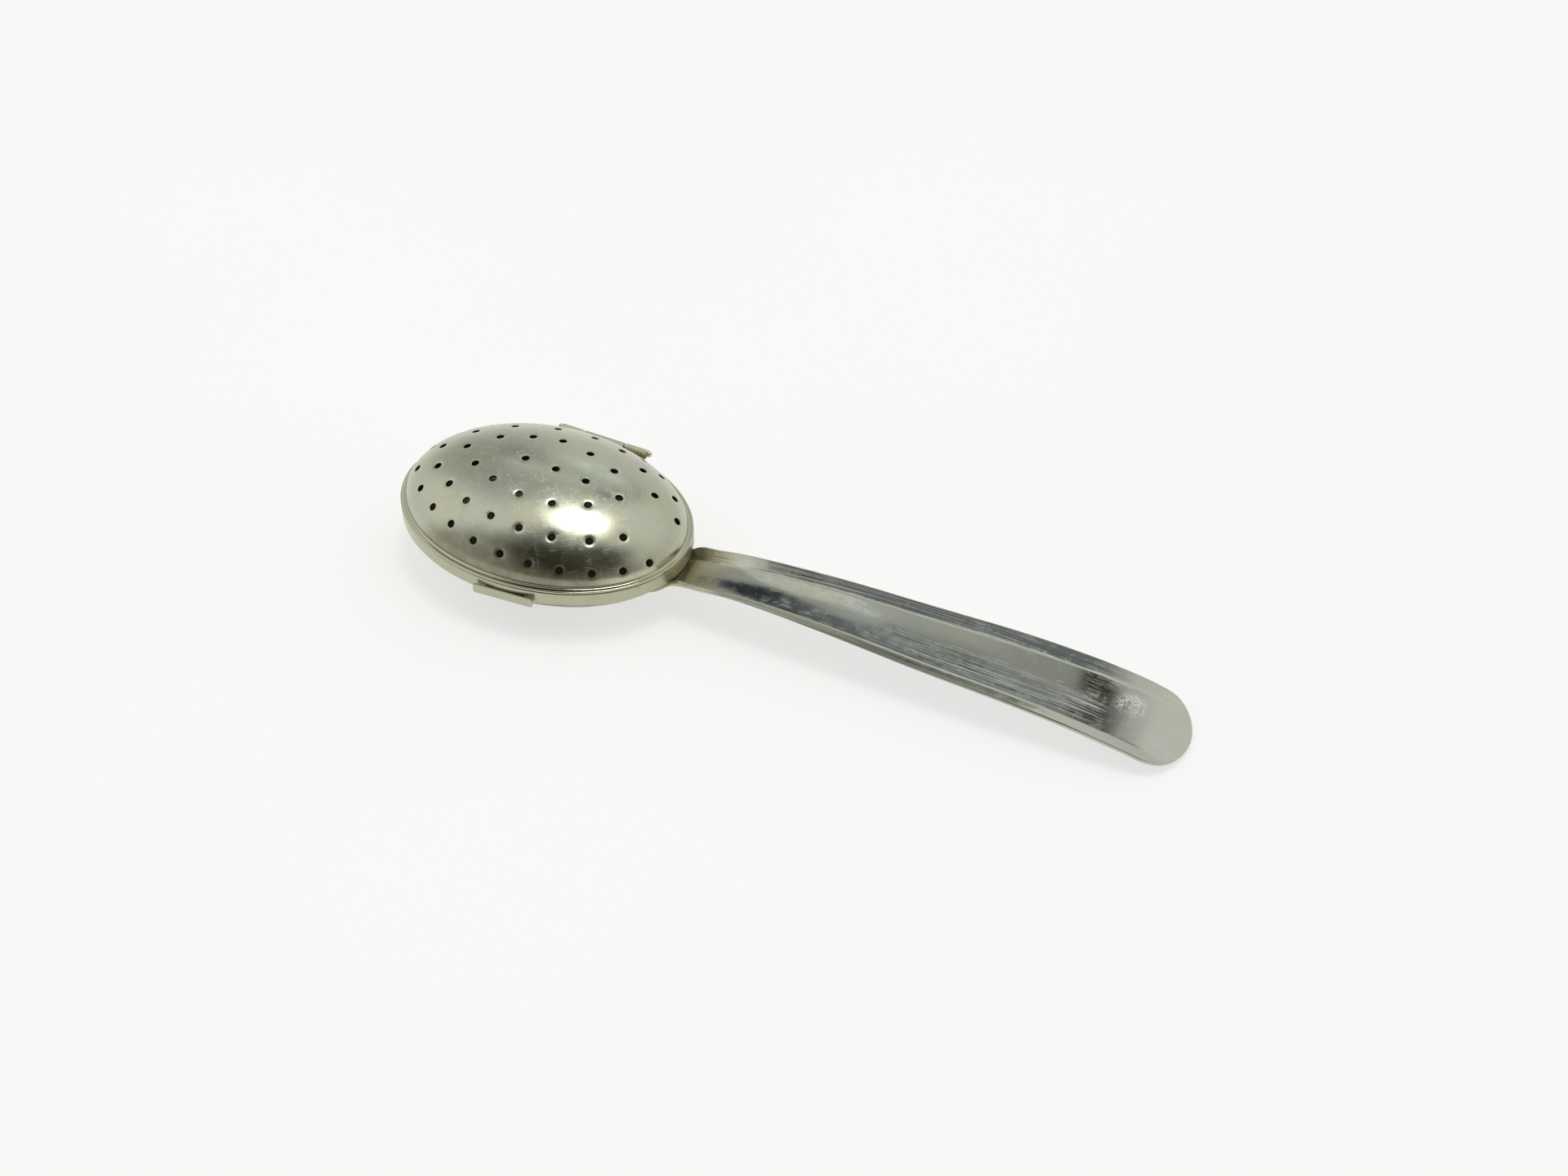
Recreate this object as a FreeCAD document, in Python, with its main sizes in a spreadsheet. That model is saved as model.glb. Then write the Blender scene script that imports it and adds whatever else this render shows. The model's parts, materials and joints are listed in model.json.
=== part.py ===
import FreeCAD, Part
import Sketcher
import math
import os

V = FreeCAD.Vector

# Hinged perforated infuser spoon.
#
# The design frame is the plane where the lid meets the rim collar: z = 0 is
# that plane, x runs along the handle, +y is the hinge side, -y the lift lip.
# The finished spoon rests on the flat of its lower shell and on the end of its
# handle, so every piece is then placed with one small tilt about y and one
# shift that put the rest plane at z = 0 and the flat's centre at the origin.

doc = FreeCAD.newDocument("infuser_spoon")
sheet = doc.addObject("Spreadsheet::Sheet", "Dims")

DIMS = [
    # rim collar
    ("rim_a", 27.0), ("rim_b", 19.7), ("collar_height", 2.67), ("collar_wall", 0.5),
    ("seam_gap", 0.12),
    # lid pressing
    ("sheet_t", 0.4), ("lid_a", 26.15), ("lid_b", 18.75), ("lid_rise", 9.9),
    ("lid_base", 0.1), ("hole_r", 0.66), ("lower_shift", 0.5), ("flange_round", 0.16),
    # ring inside the lid that slips into the collar
    ("ring_a", 26.28), ("ring_b", 18.98), ("ring_wall", 0.35), ("ring_drop", 1.3),
    # lower pressing
    ("bowl_a", 26.0), ("bowl_b", 18.7), ("bowl_drop", 7.13), ("flat_cut", 0.12),
    # hinge
    ("hinge_y", 20.83), ("hinge_z", 0.13), ("knuckle_r", 0.68), ("pin_r", 0.35),
    ("pin_fit", 0.01), ("pin_clear", 0.04), ("hinge_mid", 0.3),
    ("lid_knuckle_len", 7.9), ("end_knuckle_len", 4.3), ("knuckle_gap", 0.42),
    ("leaf_t", 0.36), ("pin_head_r", 0.55), ("pin_head_len", 0.75),
    # lift lip
    ("lip_x", 2.7), ("lip_len", 11.1), ("lip_height", 1.7), ("lip_t", 0.4),
    ("lip_top", -1.3), ("lip_lean", 9.0),
    # handle
    ("handle_t", 0.65), ("tip_x", 111.3), ("tip_rx", 6.6), ("tip_w", 8.2),
    ("tongue_x", 17.5), ("tongue_w", 4.3), ("collar_clear", 0.12),
    # rest
    ("tilt_deg", 1.785), ("tip_low_x", 117.7),
]
for row, (alias, value) in enumerate(DIMS, start=1):
    sheet.set("A%d" % row, alias)
    sheet.set("B%d" % row, repr(value))
    sheet.setAlias("B%d" % row, alias)
doc.recompute()


def dim(name):
    return float(sheet.get(name))


problems = []
parts = {}


def bind(obj, prop, expr):
    obj.setExpression(prop, expr)


# ---------------------------------------------------------------- primitives
def oval(name, a_expr, b_expr, z_expr, height_expr):
    """Upright elliptical prism, major axis along x."""
    e = doc.addObject("Part::Ellipse", name + "_curve")
    bind(e, "MajorRadius", a_expr)
    bind(e, "MinorRadius", b_expr)
    bind(e, "Placement.Base.z", z_expr)
    p = doc.addObject("Part::Extrusion", name)
    p.Base = e
    p.DirMode = "Custom"
    p.Dir = V(0, 0, 1)
    p.Solid = True
    bind(p, "LengthFwd", height_expr)
    return p


def ellipsoid(name, a_expr, b_expr, c_expr, z_expr, lo, hi):
    s = doc.addObject("Part::Ellipsoid", name)
    bind(s, "Radius1", c_expr)
    bind(s, "Radius2", a_expr)
    bind(s, "Radius3", b_expr)
    s.Angle1 = lo
    s.Angle2 = hi
    bind(s, "Placement.Base.z", z_expr)
    return s


def cut(name, base, tool):
    c = doc.addObject("Part::Cut", name)
    c.Base = base
    c.Tool = tool
    return c


def fuse(name, shapes):
    f = doc.addObject("Part::MultiFuse", name)
    f.Shapes = shapes
    return f


def common(name, a, b):
    c = doc.addObject("Part::Common", name)
    c.Base = a
    c.Tool = b
    return c


def box(name, lx, ly, lz, x, y, z):
    b = doc.addObject("Part::Box", name)
    for prop, val in (("Length", lx), ("Width", ly), ("Height", lz)):
        if isinstance(val, str):
            bind(b, prop, val)
        else:
            setattr(b, prop, val)
    b.Placement = FreeCAD.Placement(V(0, 0, 0), FreeCAD.Rotation())
    for axis, val in (("x", x), ("y", y), ("z", z)):
        if isinstance(val, str):
            bind(b, "Placement.Base." + axis, val)
    p = b.Placement
    p.Base = V(x if not isinstance(x, str) else 0, y if not isinstance(y, str) else 0,
               z if not isinstance(z, str) else 0)
    b.Placement = p
    return b


def shape_object(name, shape):
    o = doc.addObject("Part::Feature", name)
    o.Shape = shape
    return o


def origin_plane(body, role):
    for f in body.Origin.OriginFeatures:
        if f.Role == role:
            return f
    raise RuntimeError("no plane " + role)


# ---------------------------------------------------------------- punched holes
# Plan positions of the punched holes: a row of three on the crown and three
# oval rings round it, a little off centre and uneven, as hand-set tooling
# leaves them.
CROWN = [(-3.84, 0.9), (2.3, 0.6), (8.2, 0.45)]
RING3 = [(11.09, -4.08), (5.57, -6.65), (-0.6, -7.08), (-6.63, -5.5), (-11.72, -2.9),
         (-15.87, 1.24), (-11.52, 5.27), (-6.08, 7.39), (-0.83, 8.6), (5.14, 7.64),
         (10.84, 5.75), (14.71, 0.25)]
RING2 = [(18.86, -6.17), (14.37, -9.86), (8.41, -12.1), (2.49, -12.72), (-3.22, -12.3),
         (-8.98, -10.72), (-14.01, -8.02), (-18.65, -4.25), (-21.11, 1.42),
         (-17.4, 6.6), (-11.6, 10.4), (-4.4, 13.0), (2.35, 14.2), (8.2, 13.35),
         (14.04, 10.1), (18.84, 5.31)]
RING1 = [(23.83, -6.4), (20.85, -10.3), (16.6, -13.45), (11.56, -15.6), (6.29, -16.7),
         (0.98, -17.0), (-4.52, -16.38), (-9.89, -14.7), (-14.95, -12.32),
         (-19.6, -8.82), (-23.3, -3.96), (-24.0, 2.4), (-20.9, 7.9), (-15.9, 12.2),
         (-10.3, 15.0), (-4.6, 16.6), (1.2, 17.1), (6.7, 16.5), (11.7, 14.9),
         (16.43, 12.37), (21.05, 8.45), (23.9, 3.76)]
HOLES = CROWN + RING3 + RING2 + RING1


def drills(points, a, b, c, zc, sign, r, skip=None):
    """Short cylinders through an ellipsoid's wall along its normal."""
    out = []
    for x, y in points:
        if skip and skip(x, y):
            continue
        k = 1.0 - (x / a) ** 2 - (y / b) ** 2
        if k < 0.02:
            continue
        z = c * math.sqrt(k)
        n = V(x / a ** 2, y / b ** 2, sign * z / c ** 2)
        n.normalize()
        p = V(x, y, zc + sign * z)
        out.append(Part.makeCylinder(r, 3.0, p - n * 1.8, n))
    return Part.makeCompound(out)


# ---------------------------------------------------------------- lid shell
lid_dome = ellipsoid("lid_dome", "Dims.lid_a", "Dims.lid_b", "Dims.lid_rise", "Dims.lid_base", 0, 90)
lid_hollow = ellipsoid("lid_hollow", "Dims.lid_a - Dims.sheet_t", "Dims.lid_b - Dims.sheet_t",
                       "Dims.lid_rise - Dims.sheet_t", "Dims.lid_base", 0, 90)
lid_bore = oval("lid_bore", "Dims.lid_a - Dims.sheet_t", "Dims.lid_b - Dims.sheet_t", "-1", "1 + Dims.lid_base")
lid_rim = oval("lid_rim", "Dims.rim_a", "Dims.rim_b", "0", "Dims.sheet_t")
doc.recompute()
# the flange's rolled edge
lid_rim_round = doc.addObject("Part::Fillet", "lid_rim_round")
lid_rim_round.Base = lid_rim
lid_rim_round.Edges = [(i + 1, dim("flange_round"), dim("flange_round"))
                       for i, e in enumerate(lid_rim.Shape.Edges)
                       if e.BoundBox.ZLength < 1e-6]
lid_solid = fuse("lid_solid", [lid_dome, lid_rim_round])
lid_void = fuse("lid_void", [lid_hollow, lid_bore])
lid_pressing = cut("lid_pressing", lid_solid, lid_void)
lid_drills = shape_object("lid_drills", drills(HOLES, dim("lid_a"), dim("lid_b"), dim("lid_rise"),
                                               dim("lid_base"), 1, dim("hole_r")))
lid_shell = cut("lid_shell", lid_pressing, lid_drills)
parts["lid_shell"] = lid_shell

# ---------------------------------------------------------------- lid closing ring
ring_out = oval("ring_out", "Dims.ring_a", "Dims.ring_b", "-Dims.ring_drop", "Dims.ring_drop")
ring_in = oval("ring_in", "Dims.ring_a - Dims.ring_wall", "Dims.ring_b - Dims.ring_wall",
               "-Dims.ring_drop - 1", "Dims.ring_drop + 2")
closing_ring = cut("lid_closing_ring", ring_out, ring_in)
parts["lid_closing_ring"] = closing_ring

# ---------------------------------------------------------------- rim collar
collar_out = oval("collar_out", "Dims.rim_a", "Dims.rim_b", "-Dims.collar_height",
                  "Dims.collar_height - Dims.seam_gap")
collar_in = oval("collar_in", "Dims.rim_a - Dims.collar_wall", "Dims.rim_b - Dims.collar_wall",
                 "-Dims.collar_height - 1", "Dims.collar_height + 2")
rim_collar = cut("rim_collar", collar_out, collar_in)
parts["rim_collar"] = rim_collar

# ---------------------------------------------------------------- lower shell
bowl_dome = ellipsoid("bowl_dome", "Dims.bowl_a", "Dims.bowl_b", "Dims.bowl_drop", "-Dims.collar_height", -90, 0)
bowl_hollow = ellipsoid("bowl_hollow", "Dims.bowl_a - Dims.sheet_t", "Dims.bowl_b - Dims.sheet_t",
                        "Dims.bowl_drop - Dims.sheet_t", "-Dims.collar_height", -90, 0)
bowl_rim = oval("bowl_rim", "Dims.rim_a - Dims.collar_wall", "Dims.rim_b - Dims.collar_wall",
                "-Dims.collar_height", "Dims.sheet_t")
bowl_bore = oval("bowl_bore", "Dims.bowl_a - Dims.sheet_t", "Dims.bowl_b - Dims.sheet_t",
                 "-Dims.collar_height", "2")
bowl_solid = fuse("bowl_solid", [bowl_dome, bowl_rim])
bowl_void = fuse("bowl_void", [bowl_hollow, bowl_bore])
bowl_pressing = cut("bowl_pressing", bowl_solid, bowl_void)
# the lower shell is struck in the same die, turned end for end
LOWER_HOLES = [(dim("lower_shift") - x, -y) for x, y in HOLES]
bowl_drills = shape_object("bowl_drills", drills(
    LOWER_HOLES, dim("bowl_a"), dim("bowl_b"), dim("bowl_drop"), -dim("collar_height"), -1, dim("hole_r"),
    skip=lambda x, y: (x > 15.5 and abs(y) < 7.2) or (x / 26.0) ** 2 + (y / 18.7) ** 2 > 0.875))
bowl_punched = cut("bowl_punched", bowl_pressing, bowl_drills)

# rest plane in the design frame: touches the lower shell and the handle's end
tilt = math.radians(dim("tilt_deg"))
slope = math.tan(tilt)
ca, cc = dim("bowl_a"), dim("bowl_drop")
zc0 = -dim("collar_height")
# lowest point of the ellipse section for a plane z = slope*x + k
flat_x = ca * ca * slope / math.sqrt(ca * ca * slope * slope + cc * cc)
rest_k = zc0 - math.sqrt(ca * ca * slope * slope + cc * cc) + dim("flat_cut") / math.cos(tilt)
flat_z = rest_k + slope * flat_x
under = Part.makeBox(80, 60, 10, V(-40, -30, -10))
under.Placement = FreeCAD.Placement(V(flat_x, 0, flat_z), FreeCAD.Rotation(V(0, 1, 0), -math.degrees(tilt)))
flat_tool = shape_object("flat_tool", under)
lower_shell = cut("lower_shell", bowl_punched, flat_tool)
parts["lower_shell"] = lower_shell

# ---------------------------------------------------------------- hinge
def circle_body(name, label, r_expr, bore_expr, x0_expr, len_expr):
    """Tube along x made from a ring sketch on the YZ plane."""
    body = doc.addObject("PartDesign::Body", name)
    body.Label = label
    sk = body.newObject("Sketcher::SketchObject", name + "_profile")
    sk.AttachmentSupport = [(origin_plane(body, "YZ_Plane"), "")]
    sk.MapMode = "FlatFace"
    bind(sk, "AttachmentOffset.Base.z", x0_expr)
    sk.addGeometry(Part.Circle(V(20, 0, 0), V(0, 0, 1), 0.7), False)
    i1 = sk.addConstraint(Sketcher.Constraint("DistanceX", -1, 1, 0, 3, 20.0))
    i2 = sk.addConstraint(Sketcher.Constraint("DistanceY", -1, 1, 0, 3, 0.5))
    i3 = sk.addConstraint(Sketcher.Constraint("Radius", 0, 0.7))
    sk.setExpression("Constraints[%d]" % i1, "Dims.hinge_y")
    sk.setExpression("Constraints[%d]" % i2, "Dims.hinge_z")
    sk.setExpression("Constraints[%d]" % i3, r_expr)
    if bore_expr:
        sk.addGeometry(Part.Circle(V(20, 0, 0), V(0, 0, 1), 0.3), False)
        sk.addConstraint(Sketcher.Constraint("Coincident", 1, 3, 0, 3))
        i4 = sk.addConstraint(Sketcher.Constraint("Radius", 1, 0.3))
        sk.setExpression("Constraints[%d]" % i4, bore_expr)
    pad = body.newObject("PartDesign::Pad", name + "_pad")
    pad.Profile = sk
    bind(pad, "Length", len_expr)
    sk.Visibility = False
    body.Tip = pad
    return body


X_MID = "Dims.hinge_mid"
LK = "Dims.lid_knuckle_len"
EK = "Dims.end_knuckle_len"
KG = "Dims.knuckle_gap"

lid_tube = circle_body("lid_tube", "lid_tube", "Dims.knuckle_r", "Dims.pin_r + Dims.pin_clear",
                       "%s - %s / 2" % (X_MID, LK), LK)
left_tube = circle_body("left_tube", "left_tube", "Dims.knuckle_r", "Dims.pin_r + Dims.pin_fit",
                        "%s - %s / 2 - %s - %s" % (X_MID, LK, KG, EK), EK)
right_tube = circle_body("right_tube", "right_tube", "Dims.knuckle_r", "Dims.pin_r + Dims.pin_fit",
                         "%s + %s / 2 + %s" % (X_MID, LK, KG), EK)

# pin: a wire with a peened head at each end, turned about its own axis
pin = doc.addObject("PartDesign::Body", "pin_body")
pin.Label = "hinge_pin"
psk = pin.newObject("Sketcher::SketchObject", "pin_profile")
psk.AttachmentSupport = [(origin_plane(pin, "XY_Plane"), "")]
psk.MapMode = "FlatFace"
half = dim("lid_knuckle_len") / 2 + dim("knuckle_gap") + dim("end_knuckle_len")
hr, hl, pr = dim("pin_head_r"), dim("pin_head_len"), dim("pin_r")
g = 0.05
profile = [(-half - g - hl, 0), (-half - g - hl, hr * 0.55), (-half - g - hl * 0.62, hr * 0.93),
           (-half - g - hl * 0.3, hr), (-half - g, hr),
           (-half - g, pr), (half + g, pr), (half + g, hr), (half + g + hl * 0.3, hr),
           (half + g + hl * 0.62, hr * 0.93), (half + g + hl, hr * 0.55), (half + g + hl, 0)]
for i in range(len(profile)):
    p0, p1 = profile[i], profile[(i + 1) % len(profile)]
    psk.addGeometry(Part.LineSegment(V(p0[0], p0[1], 0), V(p1[0], p1[1], 0)), False)
for i in range(len(profile)):
    psk.addConstraint(Sketcher.Constraint("Coincident", i, 2, (i + 1) % len(profile), 1))
rc = psk.addConstraint(Sketcher.Constraint("DistanceY", -1, 1, 5, 2, pr))
psk.setExpression("Constraints[%d]" % rc, "Dims.pin_r")
prev = pin.newObject("PartDesign::Revolution", "pin_turned")
prev.Profile = psk
prev.ReferenceAxis = (psk, ["H_Axis"])
prev.Angle = 360
psk.Visibility = False
pin.Tip = prev

# leaf under the lid knuckle lies on the lid's flange
leaf_block = box("leaf_block", LK, "4", "Dims.leaf_t", "%s - %s / 2" % (X_MID, LK),
                 "Dims.hinge_y - 4", "Dims.sheet_t")
leaf_keep = oval("leaf_keep", "Dims.lid_a + 0.05", "Dims.lid_b + 0.05", "0", "3")
lid_leaf = cut("lid_leaf", leaf_block, leaf_keep)
bore_lid = doc.addObject("Part::Cylinder", "bore_lid")
bind(bore_lid, "Radius", "Dims.pin_r + Dims.pin_clear")
bore_lid.Height = 40
bore_lid.Placement = FreeCAD.Placement(V(-20, dim("hinge_y"), dim("hinge_z")), FreeCAD.Rotation(V(0, 1, 0), 90))
bind(bore_lid, "Placement.Base.y", "Dims.hinge_y")
bind(bore_lid, "Placement.Base.z", "Dims.hinge_z")
lid_hinge_raw = fuse("lid_hinge_raw", [lid_tube, lid_leaf])
lid_knuckle = cut("lid_knuckle", lid_hinge_raw, bore_lid)
parts["lid_knuckle"] = lid_knuckle

# leaves of the two end knuckles fold down on the collar's outer face
bore_end = doc.addObject("Part::Cylinder", "bore_end")
bind(bore_end, "Radius", "Dims.pin_r + Dims.pin_fit")
bore_end.Height = 40
bore_end.Placement = FreeCAD.Placement(V(-20, dim("hinge_y"), dim("hinge_z")), FreeCAD.Rotation(V(0, 1, 0), 90))
bind(bore_end, "Placement.Base.y", "Dims.hinge_y")
bind(bore_end, "Placement.Base.z", "Dims.hinge_z")
for side, tube, x0 in (("left", left_tube, "%s - %s / 2 - %s - %s" % (X_MID, LK, KG, EK)),
                       ("right", right_tube, "%s + %s / 2 + %s" % (X_MID, LK, KG))):
    web = box(side + "_web", EK, "4", "Dims.leaf_t", x0, "Dims.hinge_y - 4",
              "Dims.hinge_z - Dims.knuckle_r")
    flap = box(side + "_flap", EK, "6", "1.75", x0, "Dims.hinge_y - 6",
               "Dims.hinge_z - Dims.knuckle_r + Dims.leaf_t - 1.75")
    skin = oval(side + "_skin", "Dims.rim_a + Dims.leaf_t", "Dims.rim_b + Dims.leaf_t", "-4", "5")
    core = oval(side + "_core", "Dims.rim_a", "Dims.rim_b", "-5", "8")
    flap2 = common(side + "_flap_skin", flap, skin)
    leaf = fuse(side + "_leaf", [web, flap2])
    leaf2 = cut(side + "_leaf_fit", leaf, core)
    raw = fuse(side + "_knuckle_raw", [tube, leaf2])
    parts["collar_knuckle_" + side] = cut("collar_knuckle_" + side, raw, bore_end)

# ---------------------------------------------------------------- lift lip
lip_body = doc.addObject("PartDesign::Body", "lip_body")
lip_body.Label = "lift_lip"
lsk = lip_body.newObject("Sketcher::SketchObject", "lip_profile")
lsk.AttachmentSupport = [(origin_plane(lip_body, "XY_Plane"), "")]
lsk.MapMode = "FlatFace"
L2, T = dim("lip_len") / 2, dim("lip_t")
pts = [(-L2, 0), (L2, 0), (L2, -T), (-L2, -T)]
for i in range(4):
    a, b = pts[i], pts[(i + 1) % 4]
    lsk.addGeometry(Part.LineSegment(V(a[0], a[1], 0), V(b[0], b[1], 0)), False)
for i in range(4):
    lsk.addConstraint(Sketcher.Constraint("Coincident", i, 2, (i + 1) % 4, 1))
lsk.addConstraint(Sketcher.Constraint("Horizontal", 0))
lsk.addConstraint(Sketcher.Constraint("Horizontal", 2))
lsk.addConstraint(Sketcher.Constraint("Vertical", 1))
lsk.addConstraint(Sketcher.Constraint("Vertical", 3))
lsk.addConstraint(Sketcher.Constraint("Symmetric", 0, 1, 0, 2, -1, 1))
c1 = lsk.addConstraint(Sketcher.Constraint("DistanceX", 0, 1, 0, 2, 2 * L2))
c2 = lsk.addConstraint(Sketcher.Constraint("DistanceY", 1, 2, 1, 1, T))
lsk.setExpression("Constraints[%d]" % c1, "Dims.lip_len")
lsk.setExpression("Constraints[%d]" % c2, "Dims.lip_t")
lpad = lip_body.newObject("PartDesign::Pad", "lip_pad")
lpad.Profile = lsk
bind(lpad, "Length", "Dims.lip_height")
lpad.Reversed = True
lsk.Visibility = False
doc.recompute()
lfil = lip_body.newObject("PartDesign::Fillet", "lip_corners")
edges = []
for i, e in enumerate(lpad.Shape.Edges):
    bb = e.BoundBox
    if bb.YLength > 0.9 * T and bb.XLength < 1e-6 and bb.ZLength < 1e-6:
        edges.append("Edge%d" % (i + 1))
lfil.Base = (lpad, edges)
lfil.Radius = 0.45
lip_body.Tip = lfil
lean = math.radians(dim("lip_lean"))
# normal of the collar's oval at the lip's middle
lx = dim("lip_x")
ly = -dim("rim_b") * math.sqrt(1 - (lx / dim("rim_a")) ** 2)
turn = math.degrees(math.atan2((lx / dim("rim_a") ** 2), -(ly / dim("rim_b") ** 2)))
lip_place = FreeCAD.Placement(V(lx, ly, dim("lip_top")), FreeCAD.Rotation(V(0, 0, 1), turn)).multiply(
    FreeCAD.Placement(V(0, -0.02, 0), FreeCAD.Rotation(V(1, 0, 0), -dim("lip_lean"))))

# soft-solder wedge that fills the space between the collar and the strip
sol = box("solder_block", "7.6", "1.2", "0.95", "Dims.lip_x - 3.8", "-Dims.rim_b - 0.55", "Dims.lip_top - 1.15")
sol_core = oval("solder_core", "Dims.rim_a", "Dims.rim_b", "-5", "8")
sol_a = cut("solder_fit", sol, sol_core)

# ---------------------------------------------------------------- handle
# Stations along the handle: x, half width, rim height, depth of the trough.
ST = [
    (17.5, 4.30, 0.00, 0.00), (20.0, 4.40, 0.0, 0.0), (22.5, 4.48, 0.0, 0.0), (25.0, 4.56, 0.0, 0.0),
    (27.5, 4.64, -1.55, 2.10),
    (30.0, 4.77, -1.12, 2.20), (34.0, 5.03, -0.60, 2.10), (38.0, 5.21, -0.16, 1.90),
    (42.0, 5.43, 0.08, 1.72), (46.0, 5.67, 0.22, 1.56), (50.0, 5.93, 0.28, 1.44),
    (54.0, 6.18, 0.29, 1.34), (58.0, 6.41, 0.26, 1.27), (62.0, 6.64, 0.18, 1.23),
    (66.0, 6.87, 0.08, 1.20), (70.0, 7.10, -0.02, 1.19), (74.0, 7.31, -0.09, 1.19),
    (78.0, 7.51, -0.12, 1.20), (82.0, 7.68, -0.14, 1.20), (86.0, 7.82, -0.20, 1.19),
    (90.0, 7.94, -0.33, 1.17), (94.0, 8.05, -0.54, 1.13), (98.0, 8.15, -0.83, 1.06),
    (102.0, 8.24, -1.24, 0.96), (106.0, 8.30, -1.79, 0.80), (110.0, 8.30, -2.48, 0.60),
    (113.0, 8.28, -3.28, 0.44), (116.0, 8.26, -4.34, 0.32), (119.0, 8.24, -5.52, 0.26),
]


def softplus(v, d):
    return d * math.log(1.0 + math.exp(min(v / d, 60.0)))


def trough(s, bend):
    """Section: nearly flat floor, a tight bend, then a straight sloping wall."""
    s = abs(s)
    s1, d = 0.70, bend
    q = (softplus(s - s1, d) - softplus(-s1, d)) / (softplus(1 - s1, d) - softplus(-s1, d))
    return 0.20 * s * s + 0.80 * q


ba, bb_, bc = dim("bowl_a"), dim("bowl_b"), dim("bowl_drop")
TS = dim("handle_t")
S_COLS = [-1.06, -1.0, -0.93, -0.86, -0.8, -0.76, -0.72, -0.68, -0.64, -0.59, -0.52, -0.42, -0.28, -0.14,
          0.0, 0.14, 0.28, 0.42, 0.52, 0.59, 0.64, 0.68, 0.72, 0.76, 0.8, 0.86, 0.93, 1.0, 1.06]


def floor_point(st, s):
    x, w, zr, dep = st
    y = s * w
    if x <= 25.0:
        # tongue: follows the lower shell's underside
        k = 1.0 - (x / ba) ** 2 - (y / bb_) ** 2
        z = zc0 - bc * math.sqrt(max(k, 0.0))
        return V(x, y, z)
    return V(x, y, zr - dep + dep * trough(s, 0.035))


rows = [[floor_point(st, s) for s in S_COLS] for st in ST if st[0] > 25.0]
# tongue rows blend from the shell's underside up to the trough's floor
tongue = []
for x, w in ((17.5, 4.3), (19.5, 4.36), (21.5, 4.44), (23.3, 4.5)):
    tongue.append([floor_point((x, w, 0, 0), s) for s in S_COLS])
rows = tongue + [[V(25.3, s * 4.57, -4.42 + 0.95 * trough(s, 0.06)) for s in S_COLS]] + rows


def sheet_surface(grid):
    srf = Part.BSplineSurface()
    srf.interpolate(grid)
    return srf


face = sheet_surface(rows)
# the underside is the face offset along its normal
nu, nv = len(rows), len(S_COLS)
low = []
for i in range(nu):
    r = []
    for j in range(nv):
        u, v = face.parameter(rows[i][j])
        n = face.normal(u, v)
        if n.z < 0:
            n = n * -1
        r.append(rows[i][j] - n * TS)
    low.append(r)
bot = sheet_surface(low)
# the blank's tongue is thicker than the sheet, so that the shell's own shape
# cuts its upper face to a close fit
raised = [[p + V(0, 0, 0.5) for p in r] if i < len(tongue) else r for i, r in enumerate(rows)]
top = sheet_surface(raised)
ft, fb = top.toShape(), bot.toShape()


def iso(srf, u=None, v=None):
    return (srf.uIso(u) if u is not None else srf.vIso(v)).toShape()


u0, u1, v0, v1 = top.bounds()
a0, a1, b0, b1 = bot.bounds()
sides = [Part.makeRuledSurface(iso(top, u=u0), iso(bot, u=a0)),
         Part.makeRuledSurface(iso(top, u=u1), iso(bot, u=a1)),
         Part.makeRuledSurface(iso(top, v=v0), iso(bot, v=b0)),
         Part.makeRuledSurface(iso(top, v=v1), iso(bot, v=b1))]
shell = Part.makeShell([ft, fb] + sides)
shell.sewShape()
slab = Part.makeSolid(shell if shell.ShapeType == "Shell" else shell.Shells[0])
if slab.Volume < 0:
    slab.reverse()

# plan outline: tapered sides, rounded end, rounded tongue
side_pts = [(st[0], st[1]) for st in ST if 25.0 < st[0] <= 110.0]
side_pts = [(23.3, 4.5), (25.3, 4.57)] + side_pts
tipx, tipr, tipw = dim("tip_x"), dim("tip_rx"), dim("tip_w")
right_side = [V(x, w, 0) for x, w in side_pts]
cap = []
for i in range(1, 24):
    t = math.pi / 2 * (1 - i / 12.0)
    cap.append(V(tipx + tipr * math.cos(t), tipw * math.sin(t), 0))
outline = right_side + [V(tipx, tipw, 0)] + cap + [V(tipx, -tipw, 0)] + [V(p.x, -p.y, 0) for p in reversed(right_side)]
edge_curve = Part.BSplineCurve()
edge_curve.interpolate(outline)
tx, tw = dim("tongue_x"), 4.5
tongue_arc = Part.Arc(outline[-1], V(tx + 0.6, 0, 0), outline[0]).toShape()
wire = Part.Wire([edge_curve.toShape(), tongue_arc])
plan = Part.Face(wire)
prism = plan.extrude(V(0, 0, 30))
prism.translate(V(0, 0, -18))
handle_raw = slab.common(prism)
if handle_raw.ShapeType != "Solid":
    handle_raw = max(handle_raw.Solids, key=lambda s_: s_.Volume)
handle_blank = shape_object("handle_blank", handle_raw)

# the trough's walls and floor stop clear of the collar and fit the shell
keep_bowl = ellipsoid("keep_bowl", "Dims.bowl_a", "Dims.bowl_b", "Dims.bowl_drop", "-Dims.collar_height", -90, 0)
keep_collar = oval("keep_collar", "Dims.rim_a + Dims.collar_clear", "Dims.rim_b + Dims.collar_clear",
                   "-Dims.collar_height", "8")
keep_out = fuse("keep_out", [keep_bowl, keep_collar])
handle_fit = cut("handle_fit", handle_blank, keep_out)
handle_floor = cut("handle", handle_fit, flat_tool)
parts["handle"] = handle_floor

doc.recompute()

# ---------------------------------------------------------------- placing
# one tilt and one shift bring the rest plane to z = 0
rot = FreeCAD.Rotation(V(0, 1, 0), dim("tilt_deg"))
shift = rot.multVec(V(flat_x, 0, flat_z)) * -1
PLACE = FreeCAD.Placement(shift, rot)

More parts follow.
